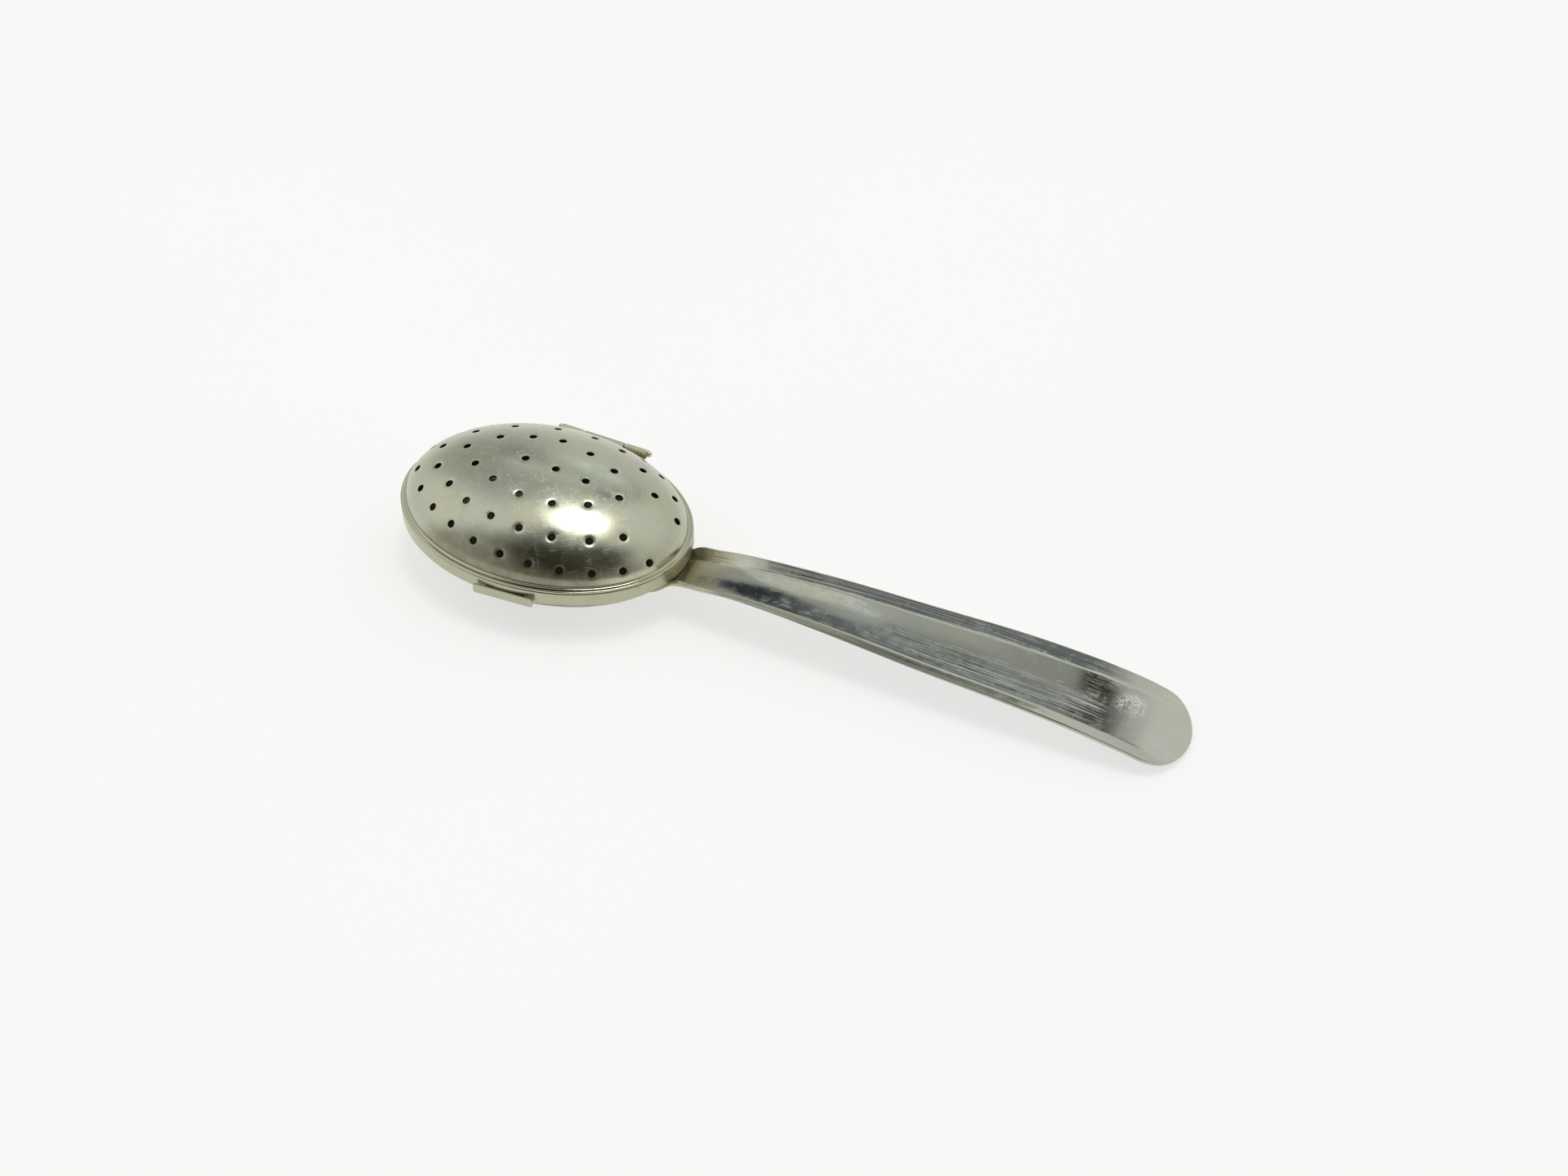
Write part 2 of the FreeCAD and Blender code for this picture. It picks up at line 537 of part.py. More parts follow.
parts["hinge_pin"] = pin
parts["lift_lip"] = lip_body
pin_shift = FreeCAD.Placement(V(dim("hinge_mid"), dim("hinge_y"), dim("hinge_z")), FreeCAD.Rotation())
pin.Placement = PLACE.multiply(pin_shift)
lip_body.Placement = lip_place
doc.recompute()
# everything beyond the strip's inner face is cut away from the wedge
outside = Part.makeBox(24, 5, 9, V(-12, -5, -6))
outside.Placement = lip_place
sol_cutter = shape_object("solder_strip", outside)
lip_solder = cut("lip_solder", sol_a, sol_cutter)
parts["lip_solder"] = lip_solder
lip_body.Placement = PLACE.multiply(lip_place)
for name, obj in parts.items():
    obj.Label = name
    if obj not in (pin, lip_body):
        obj.Placement = PLACE.multiply(obj.Placement)
doc.recompute()

for o in doc.Objects:
    st = [str(s_) for s_ in o.State]
    if "Invalid" in st or "Error" in st:
        problems.append("%s: %s" % (o.Name, st))
for name, obj in parts.items():
    s_ = obj.Shape
    if s_.isNull() or not s_.isValid():
        problems.append("%s: bad shape" % name)
if problems:
    raise RuntimeError("; ".join(problems))

os.makedirs("parts", exist_ok=True)
for name, obj in parts.items():
    s_ = obj.Shape
    print("%-24s solids %d volume %9.3f  box %s" % (
        name, len(s_.Solids), s_.Volume,
        " ".join("%.2f" % q for q in (s_.BoundBox.XMin, s_.BoundBox.XMax, s_.BoundBox.YMin,
                                      s_.BoundBox.YMax, s_.BoundBox.ZMin, s_.BoundBox.ZMax))))
    s_.exportStep("parts/%s.step" % name)
print("rest flat centre in design frame: x %.4f z %.4f" % (flat_x, flat_z))
axis_p = PLACE.multVec(V(dim("hinge_mid"), dim("hinge_y"), dim("hinge_z")))
axis_d = rot.multVec(V(1, 0, 0))
print("hinge axis point %.5f %.5f %.5f direction %.6f %.6f %.6f" % (
    axis_p.x, axis_p.y, axis_p.z, axis_d.x, axis_d.y, axis_d.z))
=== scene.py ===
import math

import bmesh
import bpy
import numpy as np
from mathutils import Matrix, Vector
from mathutils.geometry import delaunay_2d_cdt
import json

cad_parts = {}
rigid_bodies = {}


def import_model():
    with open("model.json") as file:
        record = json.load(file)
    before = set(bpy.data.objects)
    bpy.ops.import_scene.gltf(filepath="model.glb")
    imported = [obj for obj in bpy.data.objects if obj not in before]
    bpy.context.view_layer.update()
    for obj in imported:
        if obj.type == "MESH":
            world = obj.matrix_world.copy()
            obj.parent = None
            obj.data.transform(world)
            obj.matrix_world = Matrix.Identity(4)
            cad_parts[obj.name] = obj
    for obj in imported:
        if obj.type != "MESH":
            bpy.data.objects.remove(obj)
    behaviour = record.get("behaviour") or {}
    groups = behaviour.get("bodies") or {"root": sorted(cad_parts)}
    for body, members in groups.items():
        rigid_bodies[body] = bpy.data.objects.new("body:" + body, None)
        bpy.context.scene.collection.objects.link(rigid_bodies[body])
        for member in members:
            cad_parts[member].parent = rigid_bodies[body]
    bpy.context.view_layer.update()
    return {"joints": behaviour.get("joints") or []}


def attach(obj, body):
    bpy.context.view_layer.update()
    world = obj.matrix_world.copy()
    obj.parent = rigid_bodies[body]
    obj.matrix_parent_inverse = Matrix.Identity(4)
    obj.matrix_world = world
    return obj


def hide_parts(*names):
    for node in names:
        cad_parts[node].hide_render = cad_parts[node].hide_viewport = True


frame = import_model()
scene = bpy.context.scene

# ------------------------------------------------------------------ the frame
# Pieces are made in the spoon's own frame, in millimetres: z = 0 where the lid
# meets the collar, x along the handle, +y the hinge side. The hinge in the
# record says where that frame lies.
hinge = [j for j in frame["joints"] if j["name"] == "lid_hinge"][0]
HX, HY, HZ = 0.3, 20.83, 0.13
_ax = hinge["axis"]
BETA = math.atan2(_ax[2], -_ax[0])
CB, SB = math.cos(BETA), math.sin(BETA)
_p = [v * 1000.0 for v in hinge["pos_m"]]
SX = _p[0] - (HX * CB + HZ * SB)
SY = _p[1] - HY
SZ = _p[2] - (-HX * SB + HZ * CB)


def world(P):
    P = np.asarray(P, float)
    x = P[..., 0] * CB + P[..., 2] * SB + SX
    y = P[..., 1] + SY
    z = -P[..., 0] * SB + P[..., 2] * CB + SZ
    return np.stack([x, y, z], -1) * 0.001


def turn(N):
    N = np.asarray(N, float)
    return np.stack([N[..., 0] * CB + N[..., 2] * SB, N[..., 1], -N[..., 0] * SB + N[..., 2] * CB], -1)


def unit(v):
    v = np.asarray(v, float)
    return v / np.maximum(np.linalg.norm(v, axis=-1, keepdims=True), 1e-12)


class Mesh:
    """Collects points (mm), their coordinates for the textures, their normals
    where these are known, and faces."""

    def __init__(self):
        self.p, self.n, self.uv, self.f = [], [], [], []

    def add(self, P, N=None, UV=None):
        P = np.asarray(P, float).reshape(-1, 3)
        base = len(self.p)
        self.p.extend(P.tolist())
        self.n.extend((np.asarray(N, float).reshape(-1, 3) if N is not None else np.zeros_like(P)).tolist())
        self.uv.extend((np.asarray(UV, float).reshape(-1, 3) if UV is not None else P).tolist())
        return base

    def quads(self, rows, flip=False, close=False):
        """rows: arrays of indices, one strip of quads between neighbours."""
        for a, b in zip(rows[:-1], rows[1:]):
            n = len(a)
            for i in range(n if close else n - 1):
                j = (i + 1) % n
                q = (a[i], a[j], b[j], b[i])
                self.f.append(q[::-1] if flip else q)

    def build(self, name, material, body, nodes, sharp=None):
        me = bpy.data.meshes.new(name)
        W = world(np.array(self.p))
        me.from_pydata(W.tolist(), [], [tuple(int(i) for i in f) for f in self.f])
        a = me.attributes.new("mm", "FLOAT_VECTOR", "POINT")
        a.data.foreach_set("vector", np.array(self.p, np.float32).ravel())
        b = me.attributes.new("sheet", "FLOAT_VECTOR", "POINT")
        b.data.foreach_set("vector", np.array(self.uv, np.float32).ravel())
        c = me.attributes.new("known", "FLOAT_VECTOR", "POINT")
        c.data.foreach_set("vector", turn(np.array(self.n)).astype(np.float32).ravel())
        bm = bmesh.new()
        bm.from_mesh(me)
        bmesh.ops.remove_doubles(bm, verts=bm.verts, dist=2e-7)
        bmesh.ops.dissolve_degenerate(bm, edges=bm.edges, dist=1e-8)
        bmesh.ops.recalc_face_normals(bm, faces=bm.faces)
        loose = [v for v in bm.verts if not v.link_faces]
        bmesh.ops.delete(bm, geom=loose, context="VERTS")
        open_edges = sum(1 for e in bm.edges if len(e.link_faces) != 2)
        print("piece", name, "verts", len(bm.verts), "faces", len(bm.faces), "open edges", open_edges)
        bm.to_mesh(me)
        bm.free()
        me.shade_smooth()
        nv = len(me.vertices)
        known = np.zeros(nv * 3, np.float32)
        me.attributes["known"].data.foreach_get("vector", known)
        known = known.reshape(-1, 3)
        auto = np.zeros(nv * 3, np.float32)
        me.vertex_normals.foreach_get("vector", auto)
        auto = auto.reshape(-1, 3)
        has = np.linalg.norm(known, axis=1) > 0.5
        agree = (known * auto).sum(1) > 0.5
        use = np.where((has & agree)[:, None], known, auto)
        if has.any():
            me.normals_split_custom_set_from_vertices(unit(use).tolist())
        me.attributes.remove(me.attributes["known"])
        ob = bpy.data.objects.new(name, me)
        scene.collection.objects.link(ob)
        me.materials.append(material)
        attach(ob, body)
        if nodes:
            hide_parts(*nodes)
        return ob


# ------------------------------------------------------------------ materials
class Nodes:
    """Short ways to write a node tree."""

    def __init__(self, tree):
        self.t = tree

    def n(self, kind, **props):
        node = self.t.nodes.new(kind)
        for k, v in props.items():
            setattr(node, k, v)
        return node

    def link(self, a, b):
        self.t.links.new(a, b)

    def put(self, socket, value):
        if hasattr(value, "is_output"):
            self.link(value, socket)
        else:
            socket.default_value = value

    def math(self, op, a, b=None, clamp=False):
        m = self.n("ShaderNodeMath", operation=op, use_clamp=clamp)
        self.put(m.inputs[0], a)
        if b is not None:
            self.put(m.inputs[1], b)
        return m.outputs[0]

    def vmath(self, op, a, b=None):
        m = self.n("ShaderNodeVectorMath", operation=op)
        self.put(m.inputs[0], a)
        if b is not None:
            self.put(m.inputs[1], b)
        return m.outputs["Value"] if op in ("DOT_PRODUCT", "LENGTH", "DISTANCE") else m.outputs["Vector"]

    def ramp(self, v, lo, hi, a=0.0, b=1.0, smooth=True):
        m = self.n("ShaderNodeMapRange", interpolation_type="SMOOTHSTEP" if smooth else "LINEAR")
        self.put(m.inputs["Value"], v)
        self.put(m.inputs["From Min"], lo)
        self.put(m.inputs["From Max"], hi)
        self.put(m.inputs["To Min"], a)
        self.put(m.inputs["To Max"], b)
        return m.outputs["Result"]

    def mix(self, f, a, b, kind="RGBA", blend="MIX"):
        m = self.n("ShaderNodeMix", data_type=kind)
        if kind == "RGBA":
            m.blend_type = blend
            ia, ib, io = 6, 7, 2
        else:
            ia, ib, io = 2, 3, 0
        self.put(m.inputs[0], f)
        self.put(m.inputs[ia], a)
        self.put(m.inputs[ib], b)
        return m.outputs[io]

    def attr(self, name):
        return self.n("ShaderNodeAttribute", attribute_name=name).outputs["Vector"]

    def scaled(self, vec, s, rot=(0, 0, 0), loc=(0, 0, 0)):
        m = self.n("ShaderNodeMapping")
        self.put(m.inputs["Vector"], vec)
        m.inputs["Scale"].default_value = s
        m.inputs["Rotation"].default_value = rot
        m.inputs["Location"].default_value = loc
        return m.outputs["Vector"]

    def turned(self, vec, sizes, angle, loc=(0, 0, 0)):
        """Turned in the plane first, then divided by the sizes."""
        m = self.n("ShaderNodeMapping", vector_type="TEXTURE")
        self.put(m.inputs["Vector"], vec)
        m.inputs["Scale"].default_value = sizes
        m.inputs["Rotation"].default_value = (0, 0, angle)
        m.inputs["Location"].default_value = loc
        return m.outputs["Vector"]

    def noise(self, vec, scale=1.0, detail=2.0, rough=0.5, distort=0.0):
        m = self.n("ShaderNodeTexNoise")
        self.put(m.inputs["Vector"], vec)
        m.inputs["Scale"].default_value = scale
        m.inputs["Detail"].default_value = detail
        m.inputs["Roughness"].default_value = rough
        m.inputs["Distortion"].default_value = distort
        return m.outputs["Fac"]


def rgb(r, g, b):
    return (r, g, b, 1.0)


def scratches(k, vec, length, width, angle, lo, hi, seed):
    """Thin broken lines: long in one direction, sparse where the noise is low."""
    v = k.turned(vec, (length, width, 7.0), angle, (seed, seed * 1.7, 0))
    a = k.noise(v, 1.0, 1.0, 0.4)
    return k.ramp(a, lo, hi)


def metal(name, base, warm, warm_amount, rough, rough_spread, brush="mm", brush_len=6.0, brush_w=0.10,
          brush_angle=0.0, scratch=0.35, bump=0.0012, stain=0.2, extra=None,
          cuts=((9.0, 0.16, 0.0), (4.0, 0.13, 0.5), (3.0, 0.12, -0.9)), cut_lo=0.64, cut_mix=0.25, painted_root_light=None):
    mat = bpy.data.materials.new(name)
    mat.use_nodes = True
    t = mat.node_tree
    t.nodes.clear()
    k = Nodes(t)
    out = k.n("ShaderNodeOutputMaterial")
    bsdf = k.n("ShaderNodeBsdfPrincipled")
    k.link(bsdf.outputs[0], out.inputs[0])
    mm = k.attr("mm")
    br = k.attr(brush)
    bsdf.inputs["Metallic"].default_value = 1.0

    cloud = k.noise(mm, 0.11, 3.0, 0.55, 0.4)
    smudge = k.noise(k.scaled(mm, (1, 1, 1), loc=(31, 7, 3)), 0.45, 4.0, 0.6, 0.6)
    grain = k.noise(mm, 7.0, 2.0, 0.6)
    # fine polishing lines, and fewer, deeper scratches in several directions
    lines = k.noise(k.turned(br, (brush_len, brush_w, 7.0), brush_angle), 1.0, 3.0, 0.6)
    s1 = scratches(k, br, cuts[0][0], cuts[0][1], cuts[0][2], cut_lo, cut_lo + 0.08, 3.1)
    s2 = scratches(k, mm, cuts[1][0], cuts[1][1], cuts[1][2], cut_lo + 0.03, cut_lo + 0.10, 9.4)
    s3 = scratches(k, mm, cuts[2][0], cuts[2][1], cuts[2][2], cut_lo + 0.04, cut_lo + 0.11, 17.2)
    marks = k.math("MAXIMUM", s1, k.math("MAXIMUM", s2, s3))
    patchy = k.ramp(smudge, 0.42, 0.62)
    marks = k.math("MULTIPLY", marks, patchy)

    col = k.mix(k.ramp(cloud, 0.35, 0.7), base, warm)
    col = k.mix(k.math("MULTIPLY", k.ramp(smudge, 0.5, 0.75), stain), col, rgb(base[0] * 0.62, base[1] * 0.60, base[2] * 0.52))
    col = k.mix(k.math("MULTIPLY", marks, cut_mix), col, rgb(min(1, base[0] * 1.35), min(1, base[1] * 1.35), min(1, base[2] * 1.35)))
    r = k.math("ADD", k.math("MULTIPLY", k.ramp(smudge, 0.3, 0.75, smooth=False), rough_spread), rough)
    r = k.math("ADD", r, k.math("MULTIPLY", marks, 0.22))
    r = k.math("ADD", r, k.math("MULTIPLY", k.math("SUBTRACT", lines, 0.5), 0.10))
    r = k.math("MAXIMUM", r, 0.04)

    height = k.math("MULTIPLY", lines, 0.5)
    height = k.math("SUBTRACT", height, k.math("MULTIPLY", marks, scratch))
    height = k.math("ADD", height, k.math("MULTIPLY", grain, 0.25))
    height = k.math("ADD", height, k.math("MULTIPLY", smudge, 0.6))
    if extra:
        col, r, height = extra(k, mm, br, col, r, height)
    if painted_root_light:
        # painted light where the handle comes out from under the collar: a cream, partly non-metal coat that catches
        # light so the shaded junction doesn't go dark, standing in for the golden reflection there; its grainy brown
        # also reads as flux and tarnish
        pos = k.n("ShaderNodeSeparateXYZ")
        k.link(mm, pos.inputs[0])
        at = k.math("MULTIPLY", k.ramp(pos.outputs["X"], painted_root_light[0], painted_root_light[1]), k.ramp(k.math("ABSOLUTE", pos.outputs["Y"]), 7.0, 5.0))
        at = k.math("MULTIPLY", at, k.ramp(smudge, 0.25, 0.6, 0.65, 1.0))
        col = k.mix(k.math("MULTIPLY", at, 0.8), col, k.mix(k.ramp(grain, 0.3, 0.7), rgb(0.50, 0.47, 0.30), rgb(0.36, 0.32, 0.19)))
        r = k.math("ADD", r, k.math("MULTIPLY", at, 0.18))
        k.link(k.math("SUBTRACT", 1.0, k.math("MULTIPLY", at, 0.30)), bsdf.inputs["Metallic"])
    b = k.n("ShaderNodeBump")
    b.inputs["Strength"].default_value = 1.0
    b.inputs["Distance"].default_value = bump * 0.001
    k.link(height, b.inputs["Height"])
    k.link(b.outputs["Normal"], bsdf.inputs["Normal"])
    k.link(col, bsdf.inputs["Base Color"])
    k.link(r, bsdf.inputs["Roughness"])
    return mat


def pressing_extra(k, mm, br, col, r, height):
    """Tea stain: brown inside the pressing. Painted shade: near black on the holes' walls, and darker on the dome's
    lower front band.
    """
    xyz = k.n("ShaderNodeSeparateXYZ")
    k.link(br, xyz.inputs[0])
    inside = k.ramp(xyz.outputs["Z"], 30.0, 45.0)
    wall = k.ramp(xyz.outputs["Z"], 55.0, 95.0)
    col = k.mix(k.math("MULTIPLY", inside, 0.45), col, rgb(0.30, 0.24, 0.15))
    r = k.math("ADD", r, k.math("MULTIPLY", inside, 0.14))
    place = k.n("ShaderNodeSeparateXYZ")
    k.link(mm, place.inputs[0])
    # painted shade: the dome's lower front band is darkened, standing in for the dark reflection it shows on that
    # side
    front = k.math("MULTIPLY", k.ramp(k.math("SUBTRACT", place.outputs["Y"], k.math("MULTIPLY", place.outputs["X"], 0.06)), -13.0, -16.0),
                   k.ramp(xyz.outputs["Y"], 25.5, 24.8))
    front = k.math("MULTIPLY", front, k.ramp(inside, 0.5, 0.0))
    front = k.math("MULTIPLY", front, k.ramp(k.noise(mm, 0.5, 3.0, 0.6), 0.25, 0.6, 0.7, 1.0))
    col = k.mix(k.math("MULTIPLY", front, 0.85), col, rgb(0.205, 0.198, 0.135))
    edge = k.math("MULTIPLY", k.ramp(xyz.outputs["Y"], 24.9, 25.6), k.ramp(xyz.outputs["Y"], 34.0, 33.0))
    col = k.mix(k.math("MULTIPLY", edge, 0.6), col, rgb(0.52, 0.50, 0.36))
    r = k.mix(k.math("MULTIPLY", edge, 0.8), r, 0.075, kind="FLOAT")
    # painted shade: the holes' walls are made near black so the holes read dark
    col = k.mix(k.math("MULTIPLY", wall, 0.92), col, rgb(0.035, 0.028, 0.020))
    r = k.math("ADD", r, k.math("MULTIPLY", wall, 0.3))
    return col, r, height


def handle_extra(k, mm, br, col, r, height):
    """Crossed scratches near the rounded end, the heat tint by the collar, a painted highlight along each crease and
    painted shade on the near rim next to the bowl.
    """
    xyz = k.n("ShaderNodeSeparateXYZ")
    k.link(mm, xyz.inputs[0])
    d = k.vmath("DISTANCE", mm, (107.0, 2.2, -2.6))
    patch = k.ramp(d, 3.3, 1.4)
    a = scratches(k, mm, 2.6, 0.17, 0.85, 0.57, 0.64, 5.5)
    c = scratches(k, mm, 2.2, 0.17, -0.45, 0.58, 0.65, 8.8)
    e = scratches(k, mm, 2.0, 0.15, 1.75, 0.58, 0.65, 12.8)
    cross = k.math("MULTIPLY", k.math("MAXIMUM", a, k.math("MAXIMUM", c, e)), patch)
    col = k.mix(k.math("MULTIPLY", cross, 0.95), col, rgb(0.98, 0.98, 0.94))
    r = k.math("ADD", r, k.math("MULTIPLY", cross, 0.20))
    # long scratches on the middle of the trough's floor
    lane = k.n("ShaderNodeSeparateXYZ")
    k.link(br, lane.inputs[0])
    band = k.ramp(k.math("ABSOLUTE", k.math("ADD", lane.outputs["Y"], 2.2)), 4.4, 1.6)
    far = k.ramp(xyz.outputs["X"], 52.0, 78.0)
    fine = scratches(k, br, 45.0, 0.16, 0.012, 0.56, 0.64, 23.0)
    fine2 = scratches(k, br, 18.0, 0.12, -0.03, 0.56, 0.64, 41.0)
    wall = k.ramp(lane.outputs["Y"], 5.6, 6.3)
    zone = k.math("MULTIPLY", k.math("MAXIMUM", k.math("MULTIPLY", band, far), k.math("MULTIPLY", wall, k.ramp(xyz.outputs["X"], 95.0, 80.0, 0.35, 0.85))), k.ramp(xyz.outputs["X"], 106.0, 101.0))
    rub = k.math("MULTIPLY", k.math("MAXIMUM", fine, fine2), zone)
    col = k.mix(k.math("MULTIPLY", rub, 0.55), col, rgb(0.90, 0.92, 0.91))
    r = k.math("ADD", r, k.math("MULTIPLY", rub, 0.30))
    # painted highlight: a broken pale line along each crease, standing in for the glint the bends catch, broken up
    # like rubbed wear
    off = k.math("ABSOLUTE", k.math("SUBTRACT", k.math("ABSOLUTE", lane.outputs["Y"]), 5.85))
    nick = k.ramp(k.noise(k.turned(br, (5.0, 0.6, 7.0), 0.0, (3.0, 1.0, 0.0)), 1.0, 3.0, 0.7), 0.48, 0.60)
    crease_glint = k.math("MULTIPLY", k.math("MULTIPLY", k.ramp(off, 0.34, 0.08), nick), k.ramp(xyz.outputs["X"], 106.0, 98.0))
    crease_glint = k.math("MULTIPLY", crease_glint, k.ramp(xyz.outputs["X"], 36.0, 44.0))
    col = k.mix(k.math("MULTIPLY", crease_glint, 0.6), col, rgb(0.82, 0.83, 0.76))
    r = k.math("ADD", r, k.math("MULTIPLY", crease_glint, 0.32))
    height = k.math("MULTIPLY", height, k.ramp(xyz.outputs["X"], 109.0, 104.0, 0.35, 1.0))
    # painted shade: the near rim is darkened next to the bowl, where it reflects the shaded floor
    near_rim_shade = k.math("MULTIPLY", k.ramp(lane.outputs["Y"], -6.2, -6.9), k.ramp(xyz.outputs["X"], 88.0, 62.0))
    near_rim_shade = k.math("MULTIPLY", near_rim_shade, k.ramp(xyz.outputs["X"], 32.0, 37.0))
    col = k.mix(k.math("MULTIPLY", near_rim_shade, 0.62), col, rgb(0.20, 0.205, 0.165))
    near = k.ramp(xyz.outputs["X"], 38.0, 27.0)
    tint = k.math("MULTIPLY", near, 0.6)
    col = k.mix(tint, col, rgb(0.50, 0.45, 0.27))
    r = k.math("ADD", r, k.math("MULTIPLY", near, 0.10))
    return col, r, height


BASE = rgb(0.465, 0.485, 0.395)
WARM = rgb(0.49, 0.49, 0.37)
lid_mat = metal("lid_nickel", BASE, WARM, 0.5, 0.18, 0.10, brush="sheet", brush_len=7.0, brush_w=0.16, bump=0.0015, extra=pressing_extra,
                cuts=((5.0, 0.16, 0.0), (3.5, 0.14, 0.6), (3.0, 0.14, -0.8)), cut_lo=0.60, cut_mix=0.30)
bowl_mat = metal("bowl_nickel", BASE, WARM, 0.5, 0.19, 0.12, brush="sheet", brush_len=7.0, brush_w=0.16, bump=0.0014, extra=pressing_extra)
collar_mat = metal("collar_nickel", rgb(0.45, 0.46, 0.345), rgb(0.47, 0.46, 0.32), 0.6, 0.20, 0.10, brush="sheet", bump=0.0010, stain=0.3,
                   painted_root_light=(24.6, 26.4))
handle_mat = metal("handle_nickel", rgb(0.47, 0.485, 0.43), rgb(0.48, 0.485, 0.41), 0.4, 0.062, 0.055, brush="sheet", brush_len=40.0, brush_w=0.12,
                   bump=0.0008, stain=0.10, extra=handle_extra,
                   cuts=((34.0, 0.15, 0.0), (9.0, 0.12, 0.09), (6.0, 0.12, -0.12)), cut_lo=0.57, cut_mix=0.45, painted_root_light=(37.0, 26.5))
hinge_mat = metal("hinge_nickel", rgb(0.56, 0.54, 0.40), rgb(0.62, 0.57, 0.38), 0.7, 0.16, 0.08, bump=0.0006, stain=0.25, cut_mix=0.1)
pin_mat = metal("pin_steel", rgb(0.66, 0.60, 0.48), rgb(0.60, 0.50, 0.36), 0.5, 0.10, 0.08, bump=0.0006, stain=0.3, cut_mix=0.1)
solder_mat = metal("solder_grey", rgb(0.36, 0.355, 0.31), rgb(0.40, 0.375, 0.30), 0.4, 0.34, 0.14, bump=0.006, stain=0.5)

# ------------------------------------------------------------------ pressings
CROWN = [(-3.84, 0.9), (2.3, 0.6), (8.2, 0.45)]
RING3 = [(11.09, -4.08), (5.57, -6.65), (-0.6, -7.08), (-6.63, -5.5), (-11.72, -2.9),
         (-15.87, 1.24), (-11.52, 5.27), (-6.08, 7.39), (-0.83, 8.6), (5.14, 7.64),
         (10.84, 5.75), (14.71, 0.25)]
RING2 = [(18.86, -6.17), (14.37, -9.86), (8.41, -12.1), (2.49, -12.72), (-3.22, -12.3),
         (-8.98, -10.72), (-14.01, -8.02), (-18.65, -4.25), (-21.11, 1.42),
         (-17.4, 6.6), (-11.6, 10.4), (-4.4, 13.0), (2.35, 14.2), (8.2, 13.35),
         (14.04, 10.1), (18.84, 5.31)]
RING1 = [(23.83, -6.4), (20.85, -10.3), (16.6, -13.45), (11.56, -15.6), (6.29, -16.7),
         (0.98, -17.0), (-4.52, -16.38), (-9.89, -14.7), (-14.95, -12.32),
         (-19.6, -8.82), (-23.3, -3.96), (-24.0, 2.4), (-20.9, 7.9), (-15.9, 12.2),
         (-10.3, 15.0), (-4.6, 16.6), (1.2, 17.1), (6.7, 16.5), (11.7, 14.9),
         (16.43, 12.37), (21.05, 8.45), (23.9, 3.76)]
HOLES = CROWN + RING3 + RING2 + RING1
HOLE_R = 0.66
LIP_R = 0.07
SHEET = 0.4


